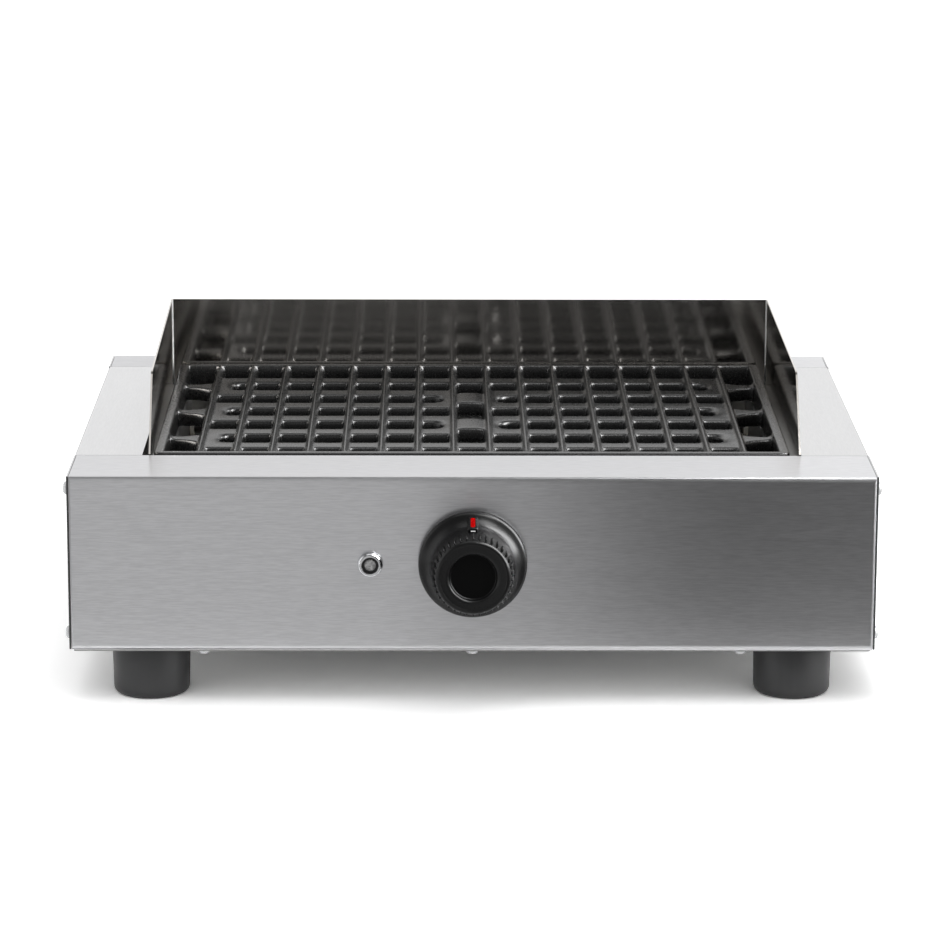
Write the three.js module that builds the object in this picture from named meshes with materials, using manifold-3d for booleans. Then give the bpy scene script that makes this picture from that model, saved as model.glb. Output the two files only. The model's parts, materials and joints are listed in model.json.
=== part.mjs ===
// Countertop electric grill: a folded stainless body on four round feet, with a cast-iron grate over a
// tilting tubular element and a lift-out water pan, a three-sided windshield and one control knob.
// Millimetres, +Z up, +Y towards the back. The origin is at the middle of the footprint, on the table.

import * as THREE from "three";
import { mergeVertices } from "three/addons/utils/BufferGeometryUtils.js";
import Module from "manifold-3d";

const wasm = await Module();
wasm.setup();

// Body
const bodyWidth = 540;
const bodyDepth = 400;
const faceHeight = 119;
const sheet = 1.2;
const bendRadius = 1.8;
const seam = 0.4;
const seatGap = 0.3;
const frontFlangeDepth = 64.3;
const rearFlangeDepth = 42;
const bottomLip = 22;
const sideReturn = 20;
const basePlateInset = 3;

// Opening in the deck, and the well that hangs in it
const sideDeckWidth = 46;
const openingRearMargin = 24;
const wellSheet = 1;
const wellFlange = 12;
const wellSideLedge = 16;
const wellEndLedge = 15.5;
const wellDepth = 104;
const wellUpperRadius = 5;
const ledgeRadius = 3;
const wellEdgeGap = 0.5;
const sumpFlange = 8;

// Cast grate
const grateSideGap = 7;
const grateFrontGap = 7;
const grateRearGap = 6.6;
const grateThickness = 16;
const grateRim = 7;
const grateCorner = 6;
const ribCount = 16;
const outerColumnWidth = 23.25;
const ribTop = 2;
const ribBase = 5.8;
const ribHeight = 3.8;
const ribKnee = 0.7;
const ribWaist = 1.5;
const ribWaistDrop = 2.2;
const ribDrop = 0.3;
const barRise = 1;
const fillDrop = 0.25;
const barCount = 6;
const barWidth = 16.3;
const slabRise = 2.5;
const castDraft = 1.1;
const roundEndMargin = 1.5;
const roundEndShare = 0.55;
const outerTipInset = 7.4;
const middleTipInset = 2.6;
const middlePlateLength = 33.5;
const middlePlateRise = 1.1;
const rimWebWidth = 9;
const ribWebWidth = 30;
const webCurveShare = 0.6;

// Windshield
const windSheet = 1.2;
const windRise = 49;
const windSlope = 40;
const windCorner = 12;
const windShift = 1.2;
const windSideGap = 0.3;
const windRearGap = 1.4;
const windFrontLead = 3.3;

// Heating element
const tubeRadius = 4.5;
const legCount = 8;
const elementSideGap = 40.5;
const elementDrop = 42;
const pivotInset = 22;
const elementRearGap = 4;
const elementFrontGap = 12;
const endBend = 12;
const trunnionReach = 18;
const terminalRadius = 2;
const terminalReach = 9;
const barStrip = 12;
const barSheet = 1.5;
const frontBarShare = 0.28;
const rearBarShare = 0.74;
const clipWall = 1.2;
const clipWidth = 9;
const restTab = 20;
const restHeight = 22;
const bushRadius = 8;
const bushFlangeRadius = 11;
const bushFlange = 3;
const bushSleeve = 6;
const runningGap = 0.35;

// Water pan
const panSideGap = 7;
const panHeight = 36;
const panSheet = 0.8;
const panDraft = 5;
const panRadius = 22;
const panRim = 5;
const panRimDrop = 4;

// Control knob, with levels measured forward from the face
const knobDrop = 58;
const knobGap = 1.5;
const knobReach = 42;
const knobSkirtRadius = 36.3;
const knobSkirt = 3.2;
const knobStep = 1;
const knobWaistRadius = 33.4;
const knobNeckRadius = 27;
const knobNeckShare = 0.62;
const knobCapRadius = 25.2;
const knobEdge = 2.2;
const neckFlareShare = 0.2;
const edgeShare = 0.3;
const knobDishRadius = 16.6;
const knobDishDepth = 2.6;
const knobWall = 3.6;
const gripCount = 38;
const gripWidth = 1.1;
const gripLength = 9;
const gripProud = 0.8;
const gripLevel = 35;
const knobTabWidth = 7.1;
const knobTabLevel = 5;
const knobTabLength = 18;
const knobTabRise = 1;
const pointerWidth = 2.9;
const pointerLevel = 9.5;
const pointerLength = 11.5;
const pointerProud = 0.2;
const pointerDepth = 0.8;
const hubRadius = 7.5;

// Energy regulator and its spindle
const spindleRadius = 3;
const spindleFlat = 1;
const spindleGrip = 20;
const spindleDepth = 14;
const regulatorSize = 40;
const regulatorDepth = 32;
const regulatorCollar = 6;
const regulatorScrewOffset = 14;
const regulatorTab = 6.3;
const regulatorTabGap = 3;
const regulatorTabCount = 4;
const tabSheet = 0.8;

// Pilot lamp
const lampOffset = 68.3;
const lampDrop = 59.3;
const lampBezelRadius = 8.6;
const lampBezelBase = 1;
const lampBezelTopRadius = 7;
const lampBezelRise = 5.2;
const lampBezelEdge = 0.4;
const lampRecessRadius = 5.8;
const lampRecess = 1.6;
const lampLensRadius = 4.2;
const lampBodyRadius = 6;
const lampBodyLength = 26;
const lampNutRadius = 10;
const lampNut = 3;
const lensShoulderShare = 0.7;
const lensLevelShare = 0.7;

// Feet
const footRadius = 26;
const footHeight = 34.2;
const footInset = 53;
const footSetback = 30;
const footEdge = 3.5;
const footTaper = 0.8;
const footRecessRadius = 9;
const footRecess = 22;

// Fasteners
const screwHeadRadius = 4.1;
const screwHead = 2.6;
const headCrownShare = 0.7;
const headCrownLevelShare = 0.78;
const screwRadius = 2;
const screwLength = 9;
const screwHoleGap = 0.4;
const sideScrewInset = 10.5;
const sideScrewMargin = 9.8;
const bottomScrewInset = 89.5;
const bottomScrewSetback = 11;

// Supply entry, wiring and heat shield
const glandInset = 120;
const glandRise = 29;
const glandRadius = 9;
const glandFlangeRadius = 13;
const glandReach = 14;
const glandInside = 9;
const glandBore = 4.5;
const glandWall = 3;
const leadRadius = 1.5;
const leadRise = 8;
const leadInset = 22;
const blockWidth = 30;
const blockDepth = 20;
const blockHeight = 17;
const blockSideGap = 4.5;
const blockRearInset = 55;
const blockTerminals = 3;
const blockBore = 3;
const shieldSheet = 0.8;
const shieldHeight = 96;
const shieldInset = 70;
const shieldLip = 12;
const shieldGap = 17;

// Fineness of round forms, and how far a cutting tool runs past what it cuts
const halfTurnSteps = 6;
const tubeSides = 8;
const roundSides = 28;
const screwSides = 8;
const footSides = 24;
const clipSides = 8;
const nutSides = 6;
const footEdgeSteps = 2;
const leadSides = 6;
const leadSteps = 24;
const overrun = 2;
const grain = 0.0001;

// Places worked out from the sizes above. The deck's top is z = 0 and the front face is y = 0 here.
const halfWidth = bodyWidth / 2;
const panelHalfWidth = halfWidth - sheet - seam;
const openingHalfWidth = halfWidth - sideDeckWidth;
const glandOffset = halfWidth - glandInset;
const glandDrop = faceHeight - glandRise;
const openingFront = frontFlangeDepth;
const openingRear = bodyDepth - openingRearMargin;
const wellHalfWidth = openingHalfWidth + wellEdgeGap;
const wellFront = openingFront - wellEdgeGap;
const wellRear = openingRear + wellEdgeGap;
const sumpHalfWidth = wellHalfWidth - wellSideLedge;
const sumpFront = wellFront + wellEndLedge;
const sumpRear = wellRear - wellEndLedge;
const grateHalfWidth = openingHalfWidth - grateSideGap;
const grateFront = openingFront + grateFrontGap;
const grateRear = openingRear - grateRearGap;
const grateLength = grateRear - grateFront;
const ledge = -grateThickness - seatGap;
const plateTop = -faceHeight - seatGap;
const plateBottom = plateTop - sheet;
const footTop = plateBottom - seatGap;
const deckHeight = footHeight - footTop;
const elementLevel = -elementDrop;
const pivotY = sumpRear - pivotInset;

// Outlines and solids

// An outline through corners [u, v, radius], with each corner rounded by its radius.
function outline(corners) {
  const points = [];
  corners.forEach(([u, v, radius = 0], i) => {
    const here = new THREE.Vector2(u, v);
    const before = new THREE.Vector2(...corners.at(i - 1));
    const after = new THREE.Vector2(...corners[(i + 1) % corners.length]);
    if (radius === 0) {
      points.push(here);
      return;
    }
    const into = here.clone().sub(before).normalize();
    const out = after.sub(here).normalize();
    const turn = Math.atan2(into.cross(out), into.dot(out));
    const side = Math.sign(turn);
    const start = here.clone().addScaledVector(into, -radius * Math.abs(Math.tan(turn / 2)));
    const centre = new THREE.Vector2(-into.y, into.x).multiplyScalar(radius * side).add(start);
    const from = Math.atan2(start.y - centre.y, start.x - centre.x);
    const steps = Math.max(1, Math.round((halfTurnSteps * Math.abs(turn)) / Math.PI));
    for (let k = 0; k <= steps; k += 1) {
      const angle = from + (turn * k) / steps;
      const spoke = new THREE.Vector2(Math.cos(angle), Math.sin(angle));
      points.push(spoke.multiplyScalar(radius).add(centre));
    }
  });
  return points;
}

// A rectangle about (u, v) with rounded corners.
function roundedRectangle(halfU, halfV, radius, u = 0, v = 0) {
  return outline([
    [u - halfU, v - halfV, radius],
    [u + halfU, v - halfV, radius],
    [u + halfU, v + halfV, radius],
    [u - halfU, v + halfV, radius],
  ]);
}

// The section of a folded sheet: the line is its outer face, and all bends turn to the same side.
function foldedSheet(line, thickness) {
  const points = line.map(([u, v]) => new THREE.Vector2(u, v));
  const runs = points.slice(1).map((p, i) => p.clone().sub(points[i]).normalize());
  const side = runs.length > 1 ? Math.sign(runs[0].cross(runs[1])) : 1;
  const normals = runs.map((run) => new THREE.Vector2(-run.y, run.x).multiplyScalar(side));
  const inner = points.map((p, i) => {
    const a = normals[Math.max(i - 1, 0)];
    const b = normals[Math.min(i, normals.length - 1)];
    const across = a.clone().add(b).multiplyScalar(thickness / (1 + a.dot(b)));
    return p.clone().add(across);
  });
  const last = points.length - 1;
  const bend = (i) => (i > 0 && i < last ? bendRadius : 0);
  const innerBend = (i) => (i > 0 && i < last ? bendRadius - thickness : 0);
  const outside = points.map((p, i) => [p.x, p.y, bend(i)]);
  const inside = inner.map((p, i) => [p.x, p.y, innerBend(i)]).reverse();
  return outline([...outside, ...inside]);
}

// A three.js geometry as a solid that can be joined and cut. Its points are rounded to a fine grain, so
// that faces meant to lie in one plane do.
function solidOf(geometry) {
  geometry.deleteAttribute("normal");
  geometry.deleteAttribute("uv");
  const merged = mergeVertices(geometry);
  const rounded = Array.from(merged.attributes.position.array, (v) => Math.round(v / grain) * grain);
  const mesh = new wasm.Mesh({
    numProp: 3,
    vertProperties: new Float32Array(rounded),
    triVerts: new Uint32Array(merged.index.array),
  });
  return new wasm.Manifold(mesh);
}

const alongX = new THREE.Matrix4().makeBasis(
  new THREE.Vector3(0, 1, 0),
  new THREE.Vector3(0, 0, 1),
  new THREE.Vector3(1, 0, 0),
);
const alongY = new THREE.Matrix4().makeBasis(
  new THREE.Vector3(-1, 0, 0),
  new THREE.Vector3(0, 0, 1),
  new THREE.Vector3(0, 1, 0),
);
const alongZ = new THREE.Matrix4();

// An outline drawn out from one place to another along an axis. Along x it is drawn in y and z, along z
// in x and y, and along y in minus x and z.
function drawnOut(points, axis, from, to) {
  const shape = new THREE.Shape(points);
  const geometry = new THREE.ExtrudeGeometry(shape, { depth: to - from, bevelEnabled: false });
  geometry.translate(0, 0, from);
  geometry.applyMatrix4(axis);
  return solidOf(geometry);
}

function block(x0, x1, y0, y1, z0, z1) {
  const geometry = new THREE.BoxGeometry(x1 - x0, y1 - y0, z1 - z0);
  geometry.translate((x0 + x1) / 2, (y0 + y1) / 2, (z0 + z1) / 2);
  return solidOf(geometry);
}

// A solid through level convex outlines with equal numbers of points, each { points, z }, lowest first.
function stacked(levels) {
  const count = levels[0].points.length;
  const positions = levels.flatMap(({ points, z }) => points.flatMap((p) => [p.x, p.y, z]));
  const index = [];
  levels.slice(1).forEach((_, level) => {
    for (let i = 0; i < count; i += 1) {
      const a = level * count + i;
      const b = level * count + ((i + 1) % count);
      index.push(a, b, a + count, b, b + count, a + count);
    }
  });
  const top = (levels.length - 1) * count;
  for (let i = 1; i < count - 1; i += 1) {
    index.push(0, i + 1, i);
    index.push(top, top + i, top + i + 1);
  }
  const geometry = new THREE.BufferGeometry();
  geometry.setAttribute("position", new THREE.Float32BufferAttribute(positions, 3));
  geometry.setIndex(index);
  return solidOf(geometry);
}

const towardsBack = new THREE.Vector3(0, 1, 0);
const towardsFront = new THREE.Vector3(0, -1, 0);
const towardsLeft = new THREE.Vector3(-1, 0, 0);
const towardsRight = new THREE.Vector3(1, 0, 0);
const upwards = new THREE.Vector3(0, 0, 1);
const downwards = new THREE.Vector3(0, 0, -1);

function placed(geometry, axis, at) {
  geometry.applyQuaternion(new THREE.Quaternion().setFromUnitVectors(towardsBack, axis));
  geometry.translate(...at);
  return geometry;
}

// A profile [radius, height], lowest point first, turned about an axis through a place.
function turned(profile, sides, axis, at) {
  const points = profile.map(([radius, height]) => new THREE.Vector2(radius, height));
  return solidOf(placed(new THREE.LatheGeometry(points, sides), axis, at));
}

function rod(radius, length, sides, axis, at) {
  const profile = [
    [0, 0],
    [radius, 0],
    [radius, length],
    [0, length],
  ];
  return turned(profile, sides, axis, at);
}

// A wire bent to stations, with one section at each of them.
class BentWire extends THREE.Curve {
  constructor(stations) {
    super();
    this.stations = stations;
  }
  getUtoTmapping(u) {
    return u;
  }
  getPoint(t) {
    const place = Math.min(Math.max(t, 0), 1) * (this.stations.length - 1);
    const i = Math.min(Math.floor(place), this.stations.length - 2);
    return this.stations[i].clone().lerp(this.stations[i + 1], place - i);
  }
}

function circle(radius, sides) {
  const spoke = (k) => (2 * Math.PI * (k + 1 / 2)) / sides;
  const point = (_, k) => new THREE.Vector2(radius * Math.cos(spoke(k)), radius * Math.sin(spoke(k)));
  return Array.from({ length: sides }, point);
}

function pipe(curve, radius, sides, steps) {
  const shape = new THREE.Shape(circle(radius, sides));
  return solidOf(new THREE.ExtrudeGeometry(shape, { extrudePath: curve, steps, bevelEnabled: false }));
}

const cut = (solid, tools) => tools.reduce((left, tool) => left.subtract(tool), solid);
const joined = (solids) => solids.reduce((sum, next) => sum.add(next));

// Meshes and their finishes

const finishes = {
  steel: { color: 0xb9babb, roughness: 0.32, metalness: 1 },
  darkSteel: { color: 0x6d6a67, roughness: 0.12, metalness: 1 },
  wellSteel: { color: 0x9b9b9a, roughness: 0.4, metalness: 1 },
  zinc: { color: 0xc4c5c6, roughness: 0.35, metalness: 1 },
  chrome: { color: 0xd5d6d8, roughness: 0.08, metalness: 1 },
  enamel: { color: 0x2b2b2c, roughness: 0.35, metalness: 0.1 },
  element: { color: 0x3d3a38, roughness: 0.55, metalness: 0.7 },
  ceramic: { color: 0xe6e1d6, roughness: 0.7, metalness: 0 },
  brass: { color: 0xb59a57, roughness: 0.35, metalness: 1 },
  blackPlastic: { color: 0x1d1d1e, roughness: 0.42, metalness: 0 },
  redPlastic: { color: 0xc00a0a, roughness: 0.4, metalness: 0 },
  rubber: { color: 0x2c2c2d, roughness: 0.7, metalness: 0 },
  lens: { color: 0xb9b9b9, roughness: 0.15, metalness: 0 },
  greyPlastic: { color: 0x8d8f90, roughness: 0.6, metalness: 0 },
  wire: { color: 0xd8d4cb, roughness: 0.75, metalness: 0 },
};

const grill = new THREE.Group();
const deck = new THREE.Group();
const faceY = (knobReach - bodyDepth - glandReach) / 2;
deck.position.set(0, faceY, deckHeight);
grill.add(deck);

function piece(name, solid, finish) {
  const data = solid.getMesh();
  const indexed = new THREE.BufferGeometry();
  indexed.setAttribute("position", new THREE.BufferAttribute(new Float32Array(data.vertProperties), 3));
  indexed.setIndex(new THREE.BufferAttribute(new Uint32Array(data.triVerts), 1));
  const geometry = indexed.toNonIndexed();
  geometry.computeVertexNormals();
  const mesh = new THREE.Mesh(geometry, new THREE.MeshStandardMaterial(finishes[finish]));
  mesh.name = name;
  deck.add(mesh);
  return mesh;
}

// Screws

const screwHole = screwRadius + screwHoleGap;
const sideScrewLevels = { upper: -sideScrewMargin, lower: -faceHeight + sideScrewMargin };
const sideScrewPlaces = { front: sideScrewInset, rear: bodyDepth - sideScrewInset };
const bottomScrewOffset = halfWidth - bottomScrewInset;
const bottomScrewXs = { left: -bottomScrewOffset, middle: 0, right: bottomScrewOffset };
const bottomScrewYs = { front: bottomScrewSetback, rear: bodyDepth - bottomScrewSetback };
const footXs = { left: -halfWidth + footInset, right: halfWidth - footInset };
const footYs = { front: footSetback, rear: bodyDepth - footSetback };
const sides = { left: -1, right: 1 };

// A dome-headed screw with its head's underside at the origin and its shank pointing along minus y.
function screwSolid(length) {
  const profile = [
    [0, -length],
    [screwRadius, -length],
    [screwRadius, 0],
    [screwHeadRadius, 0],
    [screwHeadRadius * headCrownShare, screwHead * headCrownLevelShare],
    [0, screwHead],
  ];
  return turned(profile, screwSides, towardsBack, [0, 0, 0]);
}

const shortScrew = screwSolid(screwLength);
const footScrew = screwSolid(footHeight - footRecess + sheet + screwLength / 2);

function screw(name, solid, at, headTowards) {
  const mesh = piece(name, solid, "zinc");
  mesh.position.set(...at);
  mesh.quaternion.setFromUnitVectors(towardsBack, headTowards);
}

// Body panels

function sideScrewHoles(x0, x1) {
  return Object.values(sideScrewPlaces).flatMap((y) =>
    Object.values(sideScrewLevels).map((z) =>
      rod(screwHole, x1 - x0, screwSides, towardsRight, [x0, y, z]),
    ),
  );
}

function bottomScrewHoles(z0, z1) {
  return Object.values(bottomScrewYs).flatMap((y) =>
    Object.values(bottomScrewXs).map((x) => rod(screwHole, z1 - z0, screwSides, upwards, [x, y, z0])),
  );
}

// The front or rear panel: a deck flange, the upright face, a lip under the body and a return at each end.
function endPanel(flangeDepth, isRear) {
  const y = (distance) => (isRear ? bodyDepth - distance : distance);
  const section = foldedSheet(
    [
      [y(flangeDepth), 0],
      [y(0), 0],
      [y(0), -faceHeight],
      [y(bottomLip), -faceHeight],
    ],
    sheet,
  );
  const returnSection = outline([
    [y(0), 0, bendRadius],
    [y(0), -faceHeight, bendRadius],
    [y(sideReturn), -faceHeight],
    [y(sideReturn), 0],
  ]);
  const inner = panelHalfWidth - sheet;
  return joined([
    drawnOut(section, alongX, -panelHalfWidth, panelHalfWidth),
    drawnOut(returnSection, alongX, inner, panelHalfWidth),
    drawnOut(returnSection, alongX, -panelHalfWidth, -inner),
  ]);
}

function faceHole(radius, x, drop, fromY) {
  return rod(radius, sheet + overrun * 2, roundSides / 2, towardsBack, [x, fromY - overrun, -drop]);
}

const returnHoles = [
  ...sideScrewHoles(panelHalfWidth - sheet - overrun, panelHalfWidth + overrun),
  ...sideScrewHoles(-panelHalfWidth - overrun, -panelHalfWidth + sheet + overrun),
];
const lipHoles = bottomScrewHoles(-faceHeight - overrun, -faceHeight + sheet + overrun);

const frontPanel = cut(endPanel(frontFlangeDepth, false), [
  ...returnHoles,
  ...lipHoles,
  faceHole(regulatorCollar + screwHoleGap, 0, knobDrop, 0),
  faceHole(screwHole, -regulatorScrewOffset, knobDrop, 0),
  faceHole(screwHole, regulatorScrewOffset, knobDrop, 0),
  faceHole(lampBodyRadius + screwHoleGap, -lampOffset, lampDrop, 0),
]);
piece("front_panel", frontPanel, "steel");

const openingNotch = block(
  -openingHalfWidth,
  openingHalfWidth,
  openingFront - overrun,
  openingRear,
  -sheet - overrun,
  overrun,
);
const rearPanel = cut(endPanel(rearFlangeDepth, true), [
  ...returnHoles,
  ...lipHoles,
  openingNotch,
  faceHole(glandRadius + screwHoleGap, glandOffset, glandDrop, bodyDepth - sheet),
]);
piece("rear_panel", rearPanel, "steel");

// A side panel: the whole side wall, with a deck flange and a bottom lip between the two end panels.
function sidePanel(side) {
  const start = frontFlangeDepth + seam;
  const end = bodyDepth - rearFlangeDepth - seam;
  const wallInside = halfWidth - sheet;
  const section = foldedSheet(
    [
      [openingHalfWidth, 0],
      [halfWidth, 0],
      [halfWidth, -faceHeight],
      [halfWidth - bottomLip, -faceHeight],
    ],
    sheet,
  );
  const mirrored = section.map((p) => new THREE.Vector2(-p.x * side, p.y));
  const wall = (y0, y1, top, bottom) => {
    const edges = [wallInside * side, halfWidth * side].sort((a, b) => a - b);
    return block(...edges, y0, y1, bottom, top);
  };
  const panel = joined([
    drawnOut(mirrored, alongY, start, end),
    wall(0, bodyDepth, -bendRadius, -faceHeight + bendRadius),
    wall(0, start, 0, -faceHeight),
    wall(end, bodyDepth, 0, -faceHeight),
  ]);
  const holeEdges = [(wallInside - overrun) * side, (halfWidth + overrun) * side].sort((a, b) => a - b);
  return cut(panel, sideScrewHoles(...holeEdges));
}

for (const [name, side] of Object.entries(sides)) {
  piece(`${name}_side_panel`, sidePanel(side), "steel");
}

const basePlate = cut(
  drawnOut(
    outline([
      [-halfWidth + basePlateInset, basePlateInset],
      [halfWidth - basePlateInset, basePlateInset],
      [halfWidth - basePlateInset, bodyDepth - basePlateInset],
      [-halfWidth + basePlateInset, bodyDepth - basePlateInset],
    ]),
    alongZ,
    plateBottom,
    plateTop,
  ),
  [
    ...bottomScrewHoles(plateBottom - overrun, plateTop + overrun),
    ...Object.values(footXs).flatMap((x) =>
      Object.values(footYs).map((y) =>
        rod(screwHole, sheet + overrun * 2, screwSides, upwards, [x, y, plateBottom - overrun]),
      ),
    ),
  ],
);
piece("base_plate", basePlate, "wellSteel");

for (const [end, y] of Object.entries(sideScrewPlaces)) {
  for (const [level, z] of Object.entries(sideScrewLevels)) {
    for (const [name, side] of Object.entries(sides)) {
      const head = side > 0 ? towardsRight : towardsLeft;
      screw(`${name}_${end}_${level}_screw`, shortScrew, [(halfWidth + seatGap) * side, y, z], head);
    }
  }
}

for (const [end, y] of Object.entries(bottomScrewYs)) {
  for (const [name, x] of Object.entries(bottomScrewXs)) {
    screw(`bottom_${end}_${name}_screw`, shortScrew, [x, y, plateBottom - seatGap], downwards);
  }
}

// Feet: round mouldings, each held by a screw up through a recess in its underside

function footSolid() {
  const bottomRadius = footRadius - footTaper;
  const rim = Array.from({ length: footEdgeSteps + 1 }, (_, k) => {
    const angle = ((Math.PI / 2) * k) / footEdgeSteps;
    const out = bottomRadius - footEdge + footEdge * Math.sin(angle);
    return [out, footEdge - footEdge * Math.cos(angle)];
  });
  const profile = [
    [screwHole, footRecess],
    [footRecessRadius, footRecess],
    [footRecessRadius, 0],
    ...rim,
    [footRadius, footHeight],
    [screwHole, footHeight],
    [screwHole, footRecess],
  ];
  return turned(profile, footSides, upwards, [0, 0, 0]);
}

const foot = footSolid();
for (const [end, y] of Object.entries(footYs)) {
  for (const [name, x] of Object.entries(footXs)) {
    const mesh = piece(`${end}_${name}_foot`, foot, "rubber");
    mesh.position.set(x, y, footTop - footHeight);
    const headLevel = footTop - footHeight + footRecess - seatGap;
    screw(`${end}_${name}_foot_screw`, footScrew, [x, y, headLevel], downwards);
  }
}

// Well: a frame hung under the deck's edges, with a ledge for the grate

const openingMiddle = (wellFront + wellRear) / 2;
const sumpMiddle = (sumpFront + sumpRear) / 2;
const wellHalfLength = (wellRear - wellFront) / 2;
const sumpHalfLength = (sumpRear - sumpFront) / 2;
const flangeTop = -sheet - seatGap;

function tray(halfX, halfY, middle, radius, z0, z1) {
  return drawnOut(roundedRectangle(halfX, halfY, radius, 0, middle), alongZ, z0, z1);
}

const wellOutside = joined([
  tray(
    wellHalfWidth + wellFlange,
    wellHalfLength + wellFlange,
    openingMiddle,
    wellUpperRadius + wellSheet,
    flangeTop - wellSheet,
    flangeTop,
  ),
  tray(
    wellHalfWidth + wellSheet,
    wellHalfLength + wellSheet,
    openingMiddle,
    wellUpperRadius + wellSheet,
    ledge - wellSheet,
    flangeTop,
  ),
]);
const wellInside = joined([
  tray(wellHalfWidth, wellHalfLength, openingMiddle, wellUpperRadius, ledge, overrun),
  tray(sumpHalfWidth, sumpHalfLength, sumpMiddle, ledgeRadius, ledge - wellSheet - overrun, overrun),
]);
piece("well", wellOutside.subtract(wellInside), "wellSteel");

// Sump: a trough folded from one sheet and closed by two end plates, with flanges under the well's ledge

const sumpTop = ledge - wellSheet - seatGap;
const sumpBottom = -wellDepth - wellSheet;

function sumpTrough() {
  const front = sumpFront - wellSheet;
  const rear = sumpRear + wellSheet;
  const half = sumpHalfWidth - seatGap;
  const section = foldedSheet(
    [
      [front, sumpTop],
      [front, sumpBottom],
      [rear, sumpBottom],
      [rear, sumpTop],
    ],
    wellSheet,
  );
  return joined([
    drawnOut(section, alongX, -half, half),
    block(-half, half, front - sumpFlange, front + wellSheet, sumpTop - wellSheet, sumpTop),
    block(-half, half, rear - wellSheet, rear + sumpFlange, sumpTop - wellSheet, sumpTop),
  ]);
}
piece("sump", sumpTrough(), "wellSteel");

for (const [name, side] of Object.entries(sides)) {
  const edges = [sumpHalfWidth * side, (sumpHalfWidth + wellSheet) * side].sort((a, b) => a - b);
  const lip = [sumpHalfWidth * side, (sumpHalfWidth + sumpFlange) * side].sort((a, b) => a - b);
  const plate = joined([
    block(...edges, sumpFront - wellSheet, sumpRear + wellSheet, sumpBottom, sumpTop),
    block(...lip, sumpFront - wellSheet, sumpRear + wellSheet, sumpTop - wellSheet, sumpTop),
  ]);
  const hole = rod(
    bushRadius + seatGap,
    wellSheet + overrun * 2,
    roundSides / 2,
    towardsRight,
    [edges[0] - overrun, pivotY, elementLevel],
  );
  piece(`sump_end_${name}`, plate.subtract(hole), "wellSteel");
}

// Water pan: a pressed tray with sloping walls and a turned-down rim

function waterPan() {
  const halfX = sumpHalfWidth - panSideGap - panRim;
  const halfY = sumpHalfLength - panSideGap - panRim;
  const bottom = -wellDepth + seatGap;
  const top = bottom + panHeight;
  const level = (inset, radius, z) => ({
    points: roundedRectangle(halfX - inset, halfY - inset, radius, 0, sumpMiddle),
    z,
  });
  const outside = stacked([level(panDraft, panRadius - panDraft, bottom), level(0, panRadius, top)]);
  const inside = stacked([
    level(panDraft + panSheet, panRadius - panDraft, bottom + panSheet),
    level(panSheet, panRadius, top + overrun),
  ]);
  const rimOutside = stacked([
    level(-panRim, panRadius + panRim, top - panRimDrop),
    level(-panRim, panRadius + panRim, top),
  ]);
  const underRim = stacked([
    level(panSheet - panRim, panRadius + panRim, top - panRimDrop - overrun),
    level(panSheet - panRim, panRadius + panRim, top - panSheet),
  ]);
  return rimOutside.subtract(underRim).add(outside).subtract(inside);
}
piece("water_pan", waterPan(), "wellSteel");

// Cast grate. Ribs run from front to back and bars lie lower, across them. Beside the middle column and
// along both sides, round-ended openings, raised plates and waisted webs take the place of plain ones.

const grateMiddle = grateFront + grateLength / 2;
const innerHalfWidth = grateHalfWidth - grateRim;
const innerLength = grateLength - grateRim * 2;
const outerRib = innerHalfWidth - outerColumnWidth;
const ribPitch = (outerRib * 2) / (ribCount - 1);
const rowCount = barCount + 1;
const holeLength = (innerLength - barWidth * barCount) / rowCount;
const rowPitch = holeLength + barWidth;
const slabTop = -ribHeight;
const slabBottom = -grateThickness + slabRise;
const barBottom = slabBottom + barRise;
const middleRib = ribPitch / 2;
const middleRow = (rowCount - 1) / 2;
const rows = Array.from({ length: rowCount }, (_, row) => row);
const oddRows = rows.filter((row) => row % 2 === 1);
const plateRows = rows.filter((row) => row % 2 === 0 && row > 0 && row < rowCount - 1);

const rowY = (row) => grateMiddle + (row - middleRow) * rowPitch;

// A bar or plate between two places across the grate, wider at its foot as a casting is.
function castBar(x0, x1, y, length, top) {
  const section = [
    new THREE.Vector2(y - length / 2, top),
    new THREE.Vector2(y + length / 2, top),
    new THREE.Vector2(y + length / 2 + castDraft, barBottom),
    new THREE.Vector2(y - length / 2 - castDraft, barBottom),
  ];
  return drawnOut(section, alongX, x0, x1);
}

function castRib(x) {
  const points = [
    [ribTop / 2, -ribDrop],
    [ribWaist, -ribWaistDrop],
    [ribBase / 2, slabTop - ribKnee],
    [ribBase / 2 + castDraft, slabBottom],
  ];
  const right = points.map(([u, v]) => new THREE.Vector2(-x + u, v));
  const left = points.map(([u, v]) => new THREE.Vector2(-x - u, v)).reverse();
  const reach = innerLength / 2 + overrun;
  return drawnOut([...right, ...left], alongY, grateMiddle - reach, grateMiddle + reach);
}

// The bars, which skip the middle column between the first bar and the last.
function castBars() {
  return rows.slice(0, -1).flatMap((row) => {
    const y = rowY(row) + rowPitch / 2;
    const isOuter = row === 0 || row === rowCount - 2;
    const whole = [[-outerRib, outerRib]];
    const halves = [
      [-outerRib, -middleRib],
      [middleRib, outerRib],
    ];
    return (isOuter ? whole : halves).map(([x0, x1]) => castBar(x0, x1, y, barWidth, slabTop));
  });
}

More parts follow.
